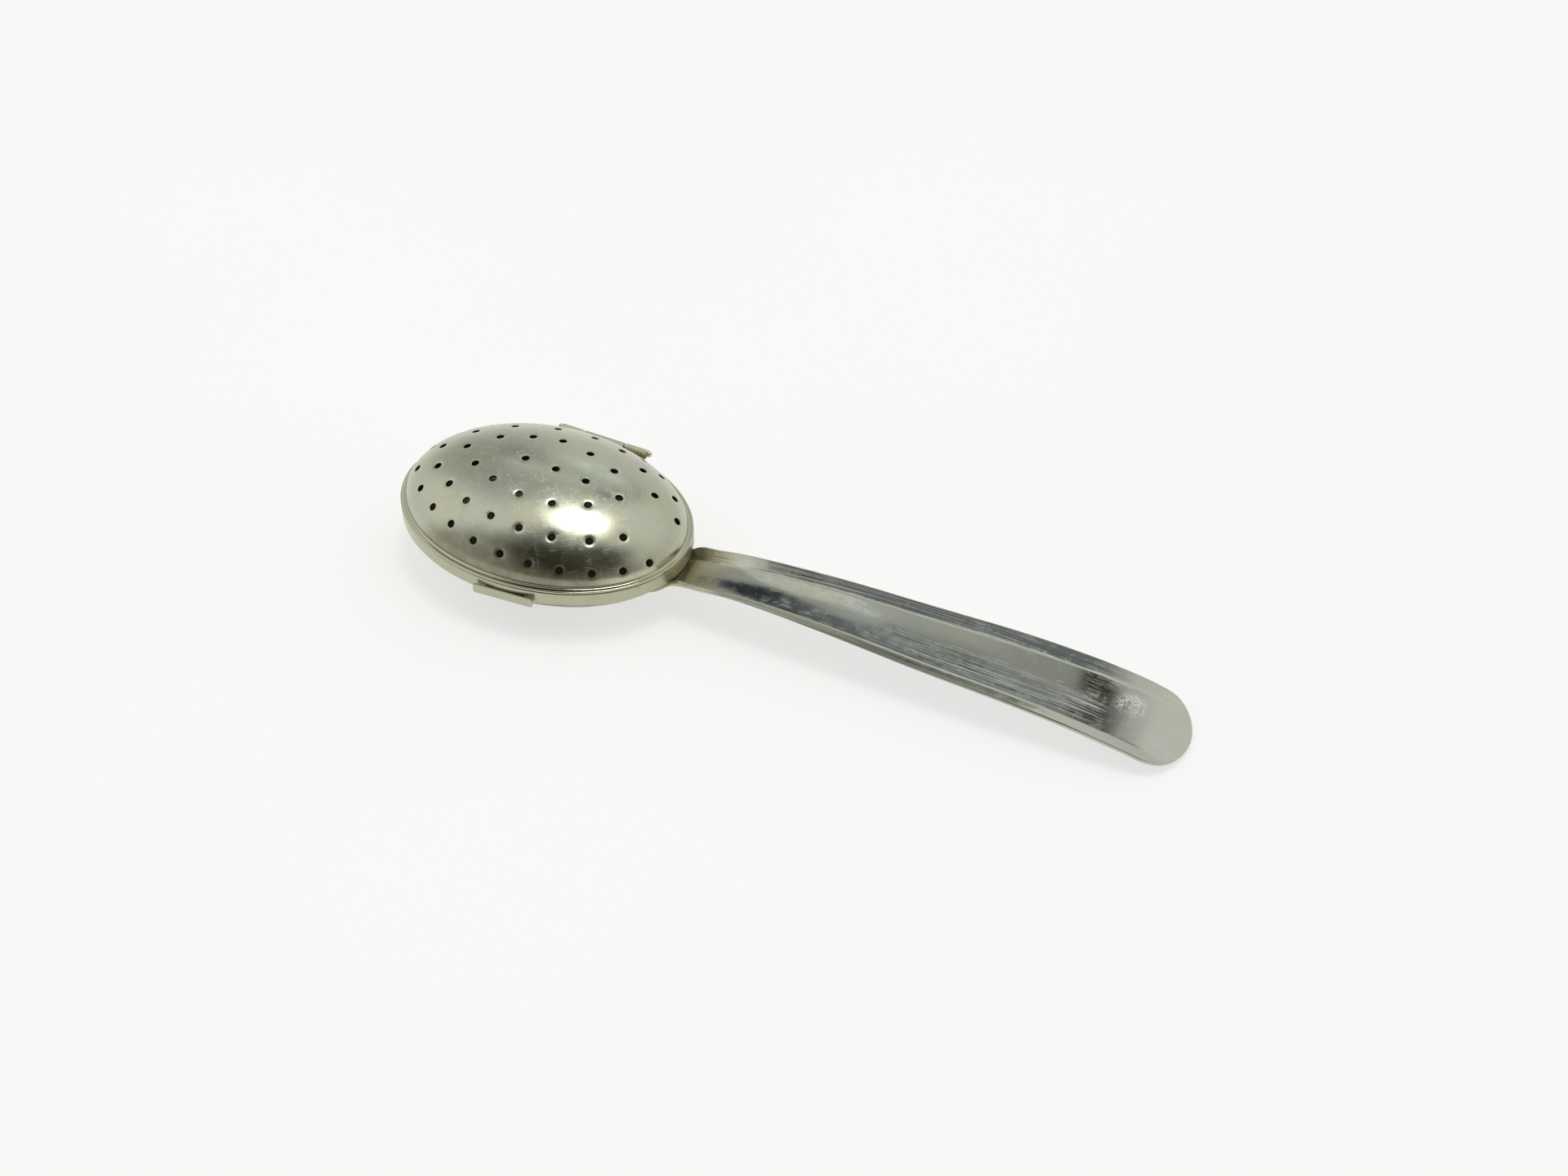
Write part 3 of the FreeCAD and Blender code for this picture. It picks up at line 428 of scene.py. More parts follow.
class Dome:
    """An oval pressing with punched holes: an ellipsoid cap of sheet."""

    def __init__(self, a, b, c, z0, sign, holes, edge_deg, dents, dish, seed):
        self.a, self.b, self.c, self.z0, self.sign = a, b, c, z0, sign
        self.edge = math.radians(edge_deg)
        self.A, self.B = 29.5, 22.9
        self.dents, self.dish = dents, dish
        rng = np.random.default_rng(seed)
        self.depth = dish * rng.uniform(0.6, 1.35, len(holes))
        H = np.array(holes)
        k = np.sqrt(1 - (H[:, 0] / a) ** 2 - (H[:, 1] / b) ** 2)
        self.H = np.stack([H[:, 0], H[:, 1], z0 + sign * c * k], 1)
        self.HN = unit(np.stack([H[:, 0] / a ** 2, H[:, 1] / b ** 2, sign * k / c], 1))

    def to_angles(self, uv):
        u, v = uv[:, 0] / self.A, uv[:, 1] / self.B
        return np.hypot(u, v) * (math.pi / 2), np.arctan2(v, u)

    def smooth(self, uv):
        th, ph = self.to_angles(uv)
        s = np.sin(th)
        P = np.stack([self.a * s * np.cos(ph), self.b * s * np.sin(ph), self.z0 + self.sign * self.c * np.cos(th)], 1)
        N = unit((P - [0, 0, self.z0]) / np.array([self.a, self.b, self.c]) ** 2)
        return P, N

    def from_point(self, P):
        q = (P - [0, 0, self.z0]) / np.array([self.a, self.b, self.c * self.sign])
        q = unit(q)
        th = np.arccos(np.clip(q[:, 2], -1, 1))
        ph = np.arctan2(q[:, 1], q[:, 0])
        r = th / (math.pi / 2)
        return np.stack([self.A * r * np.cos(ph), self.B * r * np.sin(ph)], 1)

    def lift(self, P):
        """How far the sheet stands off the plain ellipsoid at P."""
        off = np.zeros(len(P))
        for x, y, rx, ry, amp in self.dents:
            off += amp * np.exp(-((P[:, 0] - x) / rx) ** 2 - ((P[:, 1] - y) / ry) ** 2)
        for h, dep in zip(self.H, self.depth):
            d = np.linalg.norm(P - h, axis=1)
            near = d < 3.0
            dn = np.maximum(d[near] - HOLE_R, 0)
            off[near] -= dep * np.exp(-(dn / 0.30) ** 2) + 0.012 * np.exp(-(dn / 0.9) ** 2)
        return off

    def point(self, uv):
        P, N = self.smooth(uv)
        return P + N * self.lift(P)[:, None]

    def normal(self, uv):
        e = 0.02
        du = self.point(uv + [e, 0]) - self.point(uv - [e, 0])
        dv = self.point(uv + [0, e]) - self.point(uv - [0, e])
        n = unit(np.cross(du, dv))
        _, N = self.smooth(uv)
        return np.where(((n * N).sum(1) < 0)[:, None], -n, n)

    def plan(self, n_edge, step):
        """Points of the sheet's own plane, the hole rims, and the triangles."""
        pts, mark, edges = [], [], []
        for i in range(n_edge):
            ph = 2 * math.pi * i / n_edge
            r = self.edge / (math.pi / 2)
            pts.append((self.A * r * math.cos(ph), self.B * r * math.sin(ph)))
            mark.append(-1)
            edges.append((i, (i + 1) % n_edge))
        for r_in, n_in in ((0.975, n_edge), (0.945, n_edge // 2)):
            for i in range(n_in):
                ph = 2 * math.pi * (i + 0.5) / n_in
                r = self.edge / (math.pi / 2) * r_in
                q = np.array([[self.A * r * math.cos(ph), self.B * r * math.sin(ph)]])
                P, _ = self.smooth(q)
                if np.linalg.norm(self.H - P[0], axis=1).min() > 0.95:
                    pts.append(tuple(q[0]))
                    mark.append(-1)
        rings = [(HOLE_R + LIP_R, 28), (HOLE_R + LIP_R + 0.09, 28), (HOLE_R + 0.32, 26), (HOLE_R + 0.50, 22), (HOLE_R + 0.72, 18), (HOLE_R + 1.0, 16)]
        self.rims = []
        for h in range(len(self.H)):
            n = self.HN[h]
            e1 = unit(np.cross(n, [0.0, 0.0, 1.0] if abs(n[2]) < 0.9 else [1.0, 0, 0]))
            e2 = np.cross(n, e1)
            for ri, (r, cnt) in enumerate(rings):
                t = np.arange(cnt) * 2 * math.pi / cnt + 0.13 * ri
                P = self.H[h] + r * (np.cos(t)[:, None] * e1 + np.sin(t)[:, None] * e2)
                uv = self.from_point(P)
                th, _ = self.to_angles(uv)
                start = len(pts)
                for j in range(cnt):
                    if ri and th[j] > self.edge * 0.94:
                        continue
                    pts.append(tuple(uv[j]))
                    mark.append(h if ri == 0 else -1)
                if ri == 0:
                    edges += [(start + j, start + (j + 1) % cnt) for j in range(cnt)]
                    self.rims.append(list(range(start, start + cnt)))
        nx, ny = int(self.A / step) + 2, int(self.B / step) + 2
        grid = []
        for iy in range(-ny, ny + 1):
            for ix in range(-nx, nx + 1):
                u = (ix + 0.5 * (iy & 1)) * step
                v = iy * step * 0.866
                if math.hypot(u / self.A, v / self.B) * (math.pi / 2) < self.edge * 0.925:
                    grid.append((u, v))
        grid = np.array(grid)
        P, _ = self.smooth(grid)
        dist = np.min(np.linalg.norm(P[:, None, :] - self.H[None], axis=2), axis=1)
        for g in grid[dist > HOLE_R + 1.0 + 0.35 * step]:
            pts.append(tuple(g))
            mark.append(-1)
        vo, _, fo, ov, _, _ = delaunay_2d_cdt([Vector(p) for p in pts], edges, [], 0, 1e-7)
        uv = np.array([tuple(p) for p in vo])
        back = {}
        m = np.full(len(uv), -1)
        for i, o in enumerate(ov):
            for q in o:
                back[q] = i
                if mark[q] >= 0:
                    m[i] = mark[q]
        tris = [f for f in fo if not (m[f[0]] >= 0 and m[f[0]] == m[f[1]] == m[f[2]])]
        rims = [[back[i] for i in r] for r in self.rims]
        rim = [back[i] for i in range(n_edge)]
        return uv, tris, rims, rim


def pressing(dome, outer_rings, inner_rings, n_edge, step, name, mat, body, nodes, flat=False):
    """outer_rings / inner_rings: half axes and height of the rim's sections,
    from the dome's edge outwards, and from there back to the inside."""
    M = Mesh()
    uv, tris, rims, rim = dome.plan(n_edge, step)
    P, N = dome.point(uv), dome.normal(uv)
    Q = P - N * SHEET
    th, ph = dome.to_angles(uv)
    rr = np.hypot(P[:, 0] / dome.a, P[:, 1] / dome.b)
    # texture coordinates that run round the dome
    UV = np.stack([ph * 22.0, th * 16.0, np.zeros(len(ph))], 1)
    k0 = M.add(P, N, UV)
    k1 = M.add(Q, -N, UV + [0, 0, 50])
    for f in tris:
        a, b, c = f
        M.f.append((k0 + a, k0 + b, k0 + c))
        M.f.append((k1 + c, k1 + b, k1 + a))
    for h, r in enumerate(rims):
        c, n = dome.H[h], dome.HN[h]
        top, bot = P[r], Q[r]
        w = (c - top)
        w = unit(w - (w @ n)[:, None] * n)
        rows = [np.array([k0 + i for i in r])]
        for into, depth in ((0.028, 0.006), (0.050, 0.022), (0.065, 0.045), (0.07, 0.08)):
            rows.append(M.add(top + w * into - n * depth, UV=UV[r] + [0, 0, 100]) + np.arange(len(r)))
        for into, depth in ((0.07, 0.09), (0.058, 0.035), (0.035, -0.012)):
            rows.append(M.add(bot + w * into + n * depth, UV=UV[r] + [0, 0, 100]) + np.arange(len(r)))
        rows.append(np.array([k1 + i for i in r]))
        M.quads(rows, close=True)
    ph_e = np.arange(n_edge) * 2 * math.pi / n_edge
    rows = [np.array([k0 + i for i in rim])]
    arc = 0.0
    for al, be, z in outer_rings:
        arc += 0.2
        R = np.stack([al * np.cos(ph_e), be * np.sin(ph_e), np.full(n_edge, z)], 1)
        rows.append(M.add(R, UV=np.stack([ph_e * 22.0, np.full(n_edge, 25.0 + arc), np.zeros(n_edge)], 1)) + np.arange(n_edge))
    for al, be, z in inner_rings:
        R = np.stack([al * np.cos(ph_e), be * np.sin(ph_e), np.full(n_edge, z)], 1)
        rows.append(M.add(R, UV=np.stack([ph_e * 22.0, np.full(n_edge, 35.0), np.zeros(n_edge)], 1)) + np.arange(n_edge))
    rows.append(np.array([k1 + i for i in rim]))
    M.quads(rows, close=True)
    if flat:
        A = np.array(M.p)
        z = -A[:, 0] * SB + A[:, 2] * CB + SZ
        low = z < 0
        A[low, 2] -= z[low] / CB
        M.p = A.tolist()
        Nn = np.array(M.n)
        Nn[low] = [SB * 1.0, 0, -CB]
        M.n = Nn.tolist()
    return M.build(name, mat, body, nodes)


def arc2(cx, cz, r, a0, a1, n):
    return [(cx + r * math.cos(math.radians(a0 + (a1 - a0) * i / (n - 1))),
             cz + r * math.sin(math.radians(a0 + (a1 - a0) * i / (n - 1)))) for i in range(n)]


def lid_pressing():
    dents = [(-13.0, -5.0, 7.0, 5.0, -0.05), (-4.0, 9.5, 6.0, 4.0, 0.035), (16.0, 3.0, 4.5, 5.0, 0.045),
             (7.0, -11.5, 6.0, 3.0, 0.03), (-19.0, 5.0, 5.0, 5.0, 0.04), (20.0, -6.0, 3.5, 4.0, -0.04),
             (2.0, -3.5, 5.0, 3.2, -0.025)]
    d = Dome(26.15, 18.75, 9.9, 0.1, 1, HOLES, 85.0, dents, 0.055, 7)
    prof = [(26.10, 0.80)]
    prof += arc2(26.42, 0.72, 0.32, 185, 270, 7)
    prof += [(26.60, 0.40), (26.74, 0.40)]
    prof += arc2(26.83, 0.23, 0.17, 80, 0, 6)
    prof += arc2(26.88, 0.12, 0.12, 0, -90, 5)
    outer = [(x, x - 7.40 + 0.10 * min(1, max(0, (x - 26.4) / 0.5)), z) for x, z in prof]
    inner = [(26.4, 19.05, 0.0), (26.0, 18.62, 0.0), (25.84, 18.44, 0.02), (25.77, 18.37, 0.07), (25.75, 18.35, 0.2), (25.72, 18.33, 0.55)]
    return pressing(d, outer, inner, 320, 0.62, "lid_shell_sheet", lid_mat, "lid", ["lid_shell"])


def bowl_pressing():
    holes = [(x, y) for x, y in [(0.5 - a, -b) for a, b in HOLES] if not ((x > 15.5 and abs(y) < 7.2) or (x / 26.0) ** 2 + (y / 18.7) ** 2 > 0.875)]
    dents = [(-9.0, 4.0, 7.0, 5.0, -0.03), (8.0, -6.0, 6.0, 4.0, -0.03)]
    d = Dome(26.0, 18.7, 7.13, -2.67, -1, holes, 84.0, dents, 0.040, 11)
    outer = [(25.97, 18.68, -3.10), (25.99, 18.69, -2.85), (26.03, 18.73, -2.72), (26.10, 18.80, -2.675), (26.30, 19.0, -2.67), (26.42, 19.12, -2.66),
             (26.48, 19.18, -2.61), (26.49, 19.19, -2.52), (26.49, 19.19, -2.40)]
    inner = [(26.46, 19.16, -2.31), (26.38, 19.08, -2.272), (26.1, 18.8, -2.27), (25.8, 18.5, -2.27), (25.66, 18.36, -2.29), (25.61, 18.31, -2.40), (25.60, 18.30, -2.7)]
    return pressing(d, outer, inner, 256, 0.75, "lower_shell_sheet", bowl_mat, "spoon", ["lower_shell"], flat=True)


def band(name, prof, diff, mat, body, nodes, slot, n=320, wave=0.0):
    """Closed section (half axis along x, height) taken round the oval."""
    M = Mesh()
    ph = np.arange(n) * 2 * math.pi / n
    rows = []
    L = 0.0
    for i, (x, z) in enumerate(prof):
        if i:
            L += math.hypot(x - prof[i - 1][0], z - prof[i - 1][1])
        wv = wave * (np.sin(3 * ph + 0.7) + 0.6 * np.sin(7 * ph + 2.0) + 0.4 * np.sin(13 * ph))
        R = np.stack([(x + wv) * np.cos(ph), (x - diff + wv) * np.sin(ph), np.full(n, z)], 1)
        rows.append(M.add(R, UV=np.stack([ph * 23.0, np.full(n, L), np.zeros(n)], 1)) + np.arange(n))
    rows.append(rows[0])
    M.quads(rows, close=True)
    return M.build(name, mat, body, nodes)


def collar_band():
    o, i, t, b = 27.0, 26.5, -0.12, -2.67
    prof = [(o, -1.4), (o, -0.5)] + arc2(o - 0.13, t - 0.13, 0.13, 0, 90, 5) + arc2(i + 0.10, t - 0.10, 0.10, 90, 180, 4)
    prof += [(i, -0.6), (i, -1.4), (i, -2.3)] + arc2(i + 0.08, b + 0.08, 0.08, 180, 270, 4) + arc2(o - 0.20, b + 0.20, 0.20, 270, 360, 7)
    prof += [(o, -2.2)]
    return band("rim_collar_band", prof, 7.30, collar_mat, "spoon", ["rim_collar"], "collar_plate")


def closing_band():
    o, i, t, b = 26.28, 25.93, 0.0, -1.3
    prof = [(o, -0.65), (o, -0.10)] + arc2(o - 0.05, t - 0.05, 0.05, 0, 90, 3) + arc2(i + 0.05, t - 0.05, 0.05, 90, 180, 3)
    prof += [(i, -0.65)] + arc2(i + 0.10, b + 0.10, 0.10, 180, 270, 4) + arc2(o - 0.16, b + 0.16, 0.16, 270, 360, 5)
    return band("lid_closing_ring_band", prof, 7.30, lid_mat, "lid", ["lid_closing_ring"], "lid_plate")


# ------------------------------------------------------------------ handle
ST = [
    (27.5, 4.64, -1.55, 2.10),
    (30.0, 4.77, -1.12, 2.20), (34.0, 5.03, -0.60, 2.10), (38.0, 5.21, -0.16, 1.90),
    (42.0, 5.43, 0.08, 1.72), (46.0, 5.67, 0.22, 1.56), (50.0, 5.93, 0.28, 1.44),
    (54.0, 6.18, 0.29, 1.34), (58.0, 6.41, 0.26, 1.27), (62.0, 6.64, 0.18, 1.23),
    (66.0, 6.87, 0.08, 1.20), (70.0, 7.10, -0.02, 1.19), (74.0, 7.31, -0.09, 1.19),
    (78.0, 7.51, -0.12, 1.20), (82.0, 7.68, -0.14, 1.20), (86.0, 7.82, -0.20, 1.19),
    (90.0, 7.94, -0.33, 1.17), (94.0, 8.05, -0.54, 1.13), (98.0, 8.15, -0.83, 1.06),
    (102.0, 8.24, -1.24, 0.96), (106.0, 8.30, -1.79, 0.80), (110.0, 8.30, -2.48, 0.60),
    (113.0, 8.28, -3.28, 0.44), (116.0, 8.26, -4.34, 0.32), (119.0, 8.24, -5.52, 0.26),
]
TONGUE = [(17.5, 4.3), (19.5, 4.36), (21.5, 4.44), (23.3, 4.5)]
XS = np.array([t[0] for t in TONGUE] + [25.3] + [s[0] for s in ST])
WS = np.array([t[1] for t in TONGUE] + [4.57] + [s[1] for s in ST])
TS = 0.65


def spline_matrix(xs):
    """Second derivatives of a natural cubic spline as a linear map of its values."""
    n = len(xs)
    h = np.diff(xs)
    A = np.zeros((n, n))
    B = np.zeros((n, n))
    A[0, 0] = A[-1, -1] = 1
    for i in range(1, n - 1):
        A[i, i - 1], A[i, i], A[i, i + 1] = h[i - 1], 2 * (h[i - 1] + h[i]), h[i]
        B[i, i - 1], B[i, i], B[i, i + 1] = 6 / h[i - 1], -6 / h[i - 1] - 6 / h[i], 6 / h[i]
    return np.linalg.solve(A, B)


MX = spline_matrix(XS)


def weights(x):
    """Rows of cardinal weights: value = weights @ station values."""
    x = np.clip(np.asarray(x, float), XS[0], XS[-1])
    i = np.clip(np.searchsorted(XS, x) - 1, 0, len(XS) - 2)
    h = XS[i + 1] - XS[i]
    a, b = (XS[i + 1] - x) / h, (x - XS[i]) / h
    I = np.eye(len(XS))
    return (a[:, None] * I[i] + b[:, None] * I[i + 1]
            + ((a ** 3 - a) * h * h / 6)[:, None] * MX[i] + ((b ** 3 - b) * h * h / 6)[:, None] * MX[i + 1])


def softplus(v, d):
    return d * np.log1p(np.exp(np.minimum(v / d, 60.0)))


def trough(s, d):
    s = np.abs(s)
    s1 = 0.70
    return 0.20 * s * s + 0.80 * (softplus(s - s1, d) - softplus(-s1, d)) / (softplus(1 - s1, d) - softplus(-s1, d))


def handle_z(x, y):
    Wt = weights(x)
    s = y / (Wt @ WS)
    cols = []
    for xt, wt in TONGUE:
        k = 1.0 - (xt / 26.0) ** 2 - (s * wt / 18.7) ** 2
        cols.append(-2.67 - 7.13 * np.sqrt(np.maximum(k, 0.0)) - 0.02)
    cols.append(-4.42 + 0.95 * trough(s, 0.06))
    for _, _, zr, dep in ST:
        cols.append(zr - dep + dep * trough(s, 0.016))
    return (Wt * np.stack(cols, 1)).sum(1)


def handle_normal(x, y):
    e = 0.01
    gx = (handle_z(x + e, y) - handle_z(x - e, y)) / (2 * e)
    gy = (handle_z(x, y + e) - handle_z(x, y - e)) / (2 * e)
    return unit(np.stack([-gx, -gy, np.ones_like(gx)], 1))


def handle_sheet():
    rho = 0.15
    half = [0, .08, .16, .24, .32, .40, .48, .54, .58] + [0.60, 0.62, 0.64, 0.655, 0.665, 0.675, 0.683, 0.69, 0.696, 0.702, 0.708, 0.715, 0.723, 0.733, 0.745, 0.76, 0.78, 0.80] + [.82, .84, .87, .90, .925, .95, .97, .985, .995, 1.0]
    t = np.array([-v for v in reversed(half[1:])] + half)
    tipx, tipr, tipw = 111.3, 6.6 - rho, 8.2 - rho
    tox, tor = 22.65, 4.55 - rho
    rows = []
    x0, x1 = 27.0, 107.0
    for r in np.linspace(0, 1, 16)[:-1]:
        xe = tox - tor * np.sqrt(1 - t * t)
        x = xe + (x0 - xe) * r
        w_end, w_in = tor, float((weights([x0]) @ WS)[0]) - rho
        rows.append((x, t * (w_end + (w_in - w_end) * r)))
    for x in list(np.arange(x0, 32, 0.5)) + list(np.arange(32, x1, 0.9)):
        w = float((weights([x]) @ WS)[0]) - rho
        rows.append((np.full(len(t), x), t * w))
    for r in np.linspace(0, 1, 20):
        xe = tipx + tipr * np.sqrt(1 - t * t)
        x = x1 + (xe - x1) * r
        w0 = float((weights([x1]) @ WS)[0]) - rho
        rows.append((x, t * (w0 + (tipw - w0) * r)))
    nr, nc = len(rows), len(t)
    X = np.concatenate([r[0] for r in rows])
    Y = np.concatenate([r[1] for r in rows])
    P = np.stack([X, Y, handle_z(X, Y)], 1)
    N = handle_normal(X, Y)
    M = Mesh()
    S8 = np.concatenate([np.tile(t, nr)]) * 8.0
    UV = np.stack([X, S8, np.zeros(len(X))], 1)
    k0 = M.add(P, N, UV)
    k1 = M.add(P - N * TS, -N, UV + [0, 0, -40])
    idx = np.arange(nr * nc).reshape(nr, nc)
    M.quads([k0 + idx[i] for i in range(nr)])
    M.quads([k1 + idx[i] for i in range(nr)], flip=True)
    loop = list(idx[:, 0]) + list(idx[-1, 1:]) + list(idx[::-1, -1][1:]) + list(idx[0, ::-1][1:-1])
    L = P[loop]
    tang = unit(np.roll(L, -1, 0) - np.roll(L, 1, 0))
    n = N[loop]
    o = unit(np.cross(tang, n))
    mid = np.array([60.0, 0, 0])
    if ((o * (L - L.mean(0))).sum(1)).mean() < 0:
        o = -o
    prof = []
    for psi in (18, 36, 54, 72, 90):
        a = math.radians(psi)
        prof.append((rho * math.sin(a), rho * (1 - math.cos(a))))
    prof.append((rho, TS * 0.5))
    for psi in (90, 72, 54, 36, 18):
        a = math.radians(psi)
        prof.append((rho * math.sin(a), TS - rho * (1 - math.cos(a))))
    strips = [k0 + np.array(loop)]
    for out, down in prof:
        strips.append(M.add(L + o * out - n * down, UV=UV[loop] + [0, 0, -down * 0.1]) + np.arange(len(loop)))
    strips.append(k1 + np.array(loop))
    M.quads(strips, close=True)
    return M.build("handle_sheet", handle_mat, "spoon", ["handle"])


# ------------------------------------------------------------------ hinge
def strip_section(path, t):
    """Closed outline of a sheet of thickness t that follows a path."""
    P = np.array(path)
    d = unit(np.gradient(P, axis=0))
    nrm = np.stack([-d[:, 1], d[:, 0]], 1)
    r = 0.07
    left, right = P + nrm * t / 2, P - nrm * t / 2
    start = [P[0] - d[0] * 0 + nrm[0] * (t / 2 - r) * s for s in (-1, 1)]
    end = [P[-1] + d[-1] * r * 0.9 + nrm[-1] * (t / 2 - r) * s for s in (1, -1)]
    s0 = [P[0] - d[0] * r * 0.9 + nrm[0] * (t / 2 - r) * s for s in (-1, 1)]
    return np.array([s0[0], s0[1]] + list(left) + [end[0], end[1]] + list(right[::-1]))


def knuckle(name, x_lo, x_hi, make_path, t, body, node):
    M = Mesh()
    xs = [x_lo, x_lo + 0.05, x_lo + 0.14] + list(np.linspace(x_lo + 0.5, x_hi - 0.5, 9)) + [x_hi - 0.14, x_hi - 0.05, x_hi]
    rows = []
    for i, x in enumerate(xs):
        path = make_path(x)
        inset = {0: 0.10, 1: 0.03}.get(min(i, len(xs) - 1 - i), 0.0)
        S = strip_section(path, t - inset)
        P = np.stack([np.full(len(S), x), S[:, 0], S[:, 1]], 1)
        rows.append(M.add(P) + np.arange(len(S)))
    M.quads(rows, close=True)
    # the cut ends: a strip of quads between the two sides of the section
    for r, flip in ((rows[0], True), (rows[-1], False)):
        n = len(r)
        m = (n - 4) // 2
        left = [r[1]] + list(r[2:2 + m]) + [r[2 + m]]
        right = [r[0]] + list(r[4 + m:][::-1]) + [r[3 + m]]
        M.quads([np.array(left), np.array(right)], flip=flip)
    return M.build(name, hinge_mat, body, [node])


def arc_path(cy, cz, r, a0, a1, n):
    return [(cy + r * math.cos(math.radians(a)), cz + r * math.sin(math.radians(a))) for a in np.linspace(a0, a1, n)]


def end_path(x):
    y = 19.7 * math.sqrt(1 - (x / 27.0) ** 2) + 0.17
    mr = 0.52
    p = [(y, -1.92), (y, -1.5), (y, -1.1), (y, -0.75)]
    p += arc_path(y + 0.30, -0.69, 0.30, 180, 90, 5)[1:]
    y1 = y + 0.36
    p += [(y1 + (HY - y1) * q, -0.39) for q in np.linspace(0, 1, 6)[1:-1]]
    p += arc_path(HY, HZ, mr, -90, 205, 26)
    return p


def lid_path(x):
    y = 18.80 * math.sqrt(1 - (x / 26.2) ** 2) + 0.12
    p = [(y, 0.59), (y + 0.25, 0.59)]
    p += [(y + 0.25 + (20.35 - y - 0.25) * q, 0.59 + 0.05 * q) for q in np.linspace(0, 1, 6)[1:]]
    p += arc_path(HY, HZ, 0.535, 92, -215, 28)
    return p


def pin_turned():
    M = Mesh()
    half = 7.9 / 2 + 0.42 + 4.3
    g = 0.05
    prof = [(-half - g - 0.75, 0.0)]
    for a in (80, 62, 45, 28, 12):
        prof.append((-half - g - 0.30 - 0.44 * math.sin(math.radians(a)), 0.545 * math.cos(math.radians(a)) ** 0.7))
    prof += [(-half - g - 0.2, 0.548), (-half - g - 0.04, 0.545), (-half - g, 0.50), (-half - g, 0.35)]
    prof += [(-half + 2, 0.349), (0, 0.349), (half - 2, 0.349)]
    prof += [(-x, r) for x, r in reversed(prof[:10])]
    n = 40
    th = np.arange(n) * 2 * math.pi / n
    rows = []
    for x, r in prof:
        rr = max(r, 1e-5)
        P = np.stack([np.full(n, HX + x), HY + rr * np.cos(th), HZ + rr * np.sin(th)], 1)
        rows.append(M.add(P) + np.arange(n))
    M.quads(rows, close=True)
    c0 = M.add([[HX + prof[0][0], HY, HZ]])
    c1 = M.add([[HX + prof[-1][0], HY, HZ]])
    for i in range(n):
        j = (i + 1) % n
        M.f.append((c0, rows[0][j], rows[0][i]))
        M.f.append((c1, rows[-1][i], rows[-1][j]))
    return M.build("hinge_pin_wire", pin_mat, "spoon", ["hinge_pin"])


# ------------------------------------------------------------------ lift lip
LX = 2.7
LY = -19.7 * math.sqrt(1 - (LX / 27.0) ** 2)
LT = math.atan2(LX / 27.0 ** 2, -(LY / 19.7 ** 2))
LEAN = math.radians(9.0)
LIP_LEN, LIP_H, LIP_T, LIP_TOP = 11.1, 1.7, 0.4, -1.3


def lip_place(P):
    """From the strip's own frame (length, thickness, height) to the spoon's."""
    P = np.asarray(P, float)
    y = P[..., 1] * math.cos(LEAN) + P[..., 2] * math.sin(LEAN)
    z = -P[..., 1] * math.sin(LEAN) + P[..., 2] * math.cos(LEAN)
    x = P[..., 0]
    y = y - 0.02
    c, s = math.cos(LT), math.sin(LT)
    return np.stack([x * c - y * s + LX, x * s + y * c + LY, z + LIP_TOP], -1)


def lip_strip():
    M = Mesh()
    L2, r = LIP_LEN / 2, 0.45

    def outline(inset):
        pts = []
        rr = r - inset
        for cx, cz, a0 in ((L2 - r, -r, 0), (-L2 + r, -r, 90), (-L2 + r, -LIP_H + r, 180), (L2 - r, -LIP_H + r, 270)):
            for a in np.linspace(a0, a0 + 90, 9):
                pts.append((cx + rr * math.cos(math.radians(a)), cz + rr * math.sin(math.radians(a))))
            if a0 == 0:
                pts += [(x, -inset) for x in np.linspace(L2 - r, -L2 + r, 22)[1:-1]]
            if a0 == 180:
                pts += [(x, -LIP_H + inset) for x in np.linspace(-L2 + r, L2 - r, 22)[1:-1]]
        return np.array(pts)
    secs = [(0.10, 0.0), (0.045, -0.02), (0.01, -0.06), (0.0, -0.11), (0.0, -0.28), (0.01, -0.34), (0.045, -0.38), (0.10, -0.40)]
    rows = []
    for inset, y in secs:
        o = outline(inset)
        P = np.stack([o[:, 0], np.full(len(o), y), o[:, 1]], 1)
        rows.append(M.add(lip_place(P), UV=P) + np.arange(len(o)))
    M.quads(rows, close=True)
    for r_, y, flip in ((rows[0], 0.0, True), (rows[-1], -0.40, False)):
        # faces: rings that shrink to the middle line
        prev = r_
        for q in (0.3, 0.55):
            o = outline(0.10)
            z = o[:, 1]
            zc = z + (-LIP_H / 2 - z) * q
            P = np.stack([o[:, 0] * (1 - 0.04 * q), np.full(len(o), y), zc], 1)
            ring = M.add(lip_place(P), UV=P) + np.arange(len(o))
            M.quads([prev, ring], close=True, flip=not flip)
            prev = ring
        o = outline(0.10)
        c = M.add(lip_place([[0, y, -LIP_H / 2]]), UV=[[0, y, -LIP_H / 2]])
        M.f.append(tuple(prev[::-1] if flip else prev))
    return M.build("lift_lip_strip", collar_mat, "spoon", ["lift_lip"])


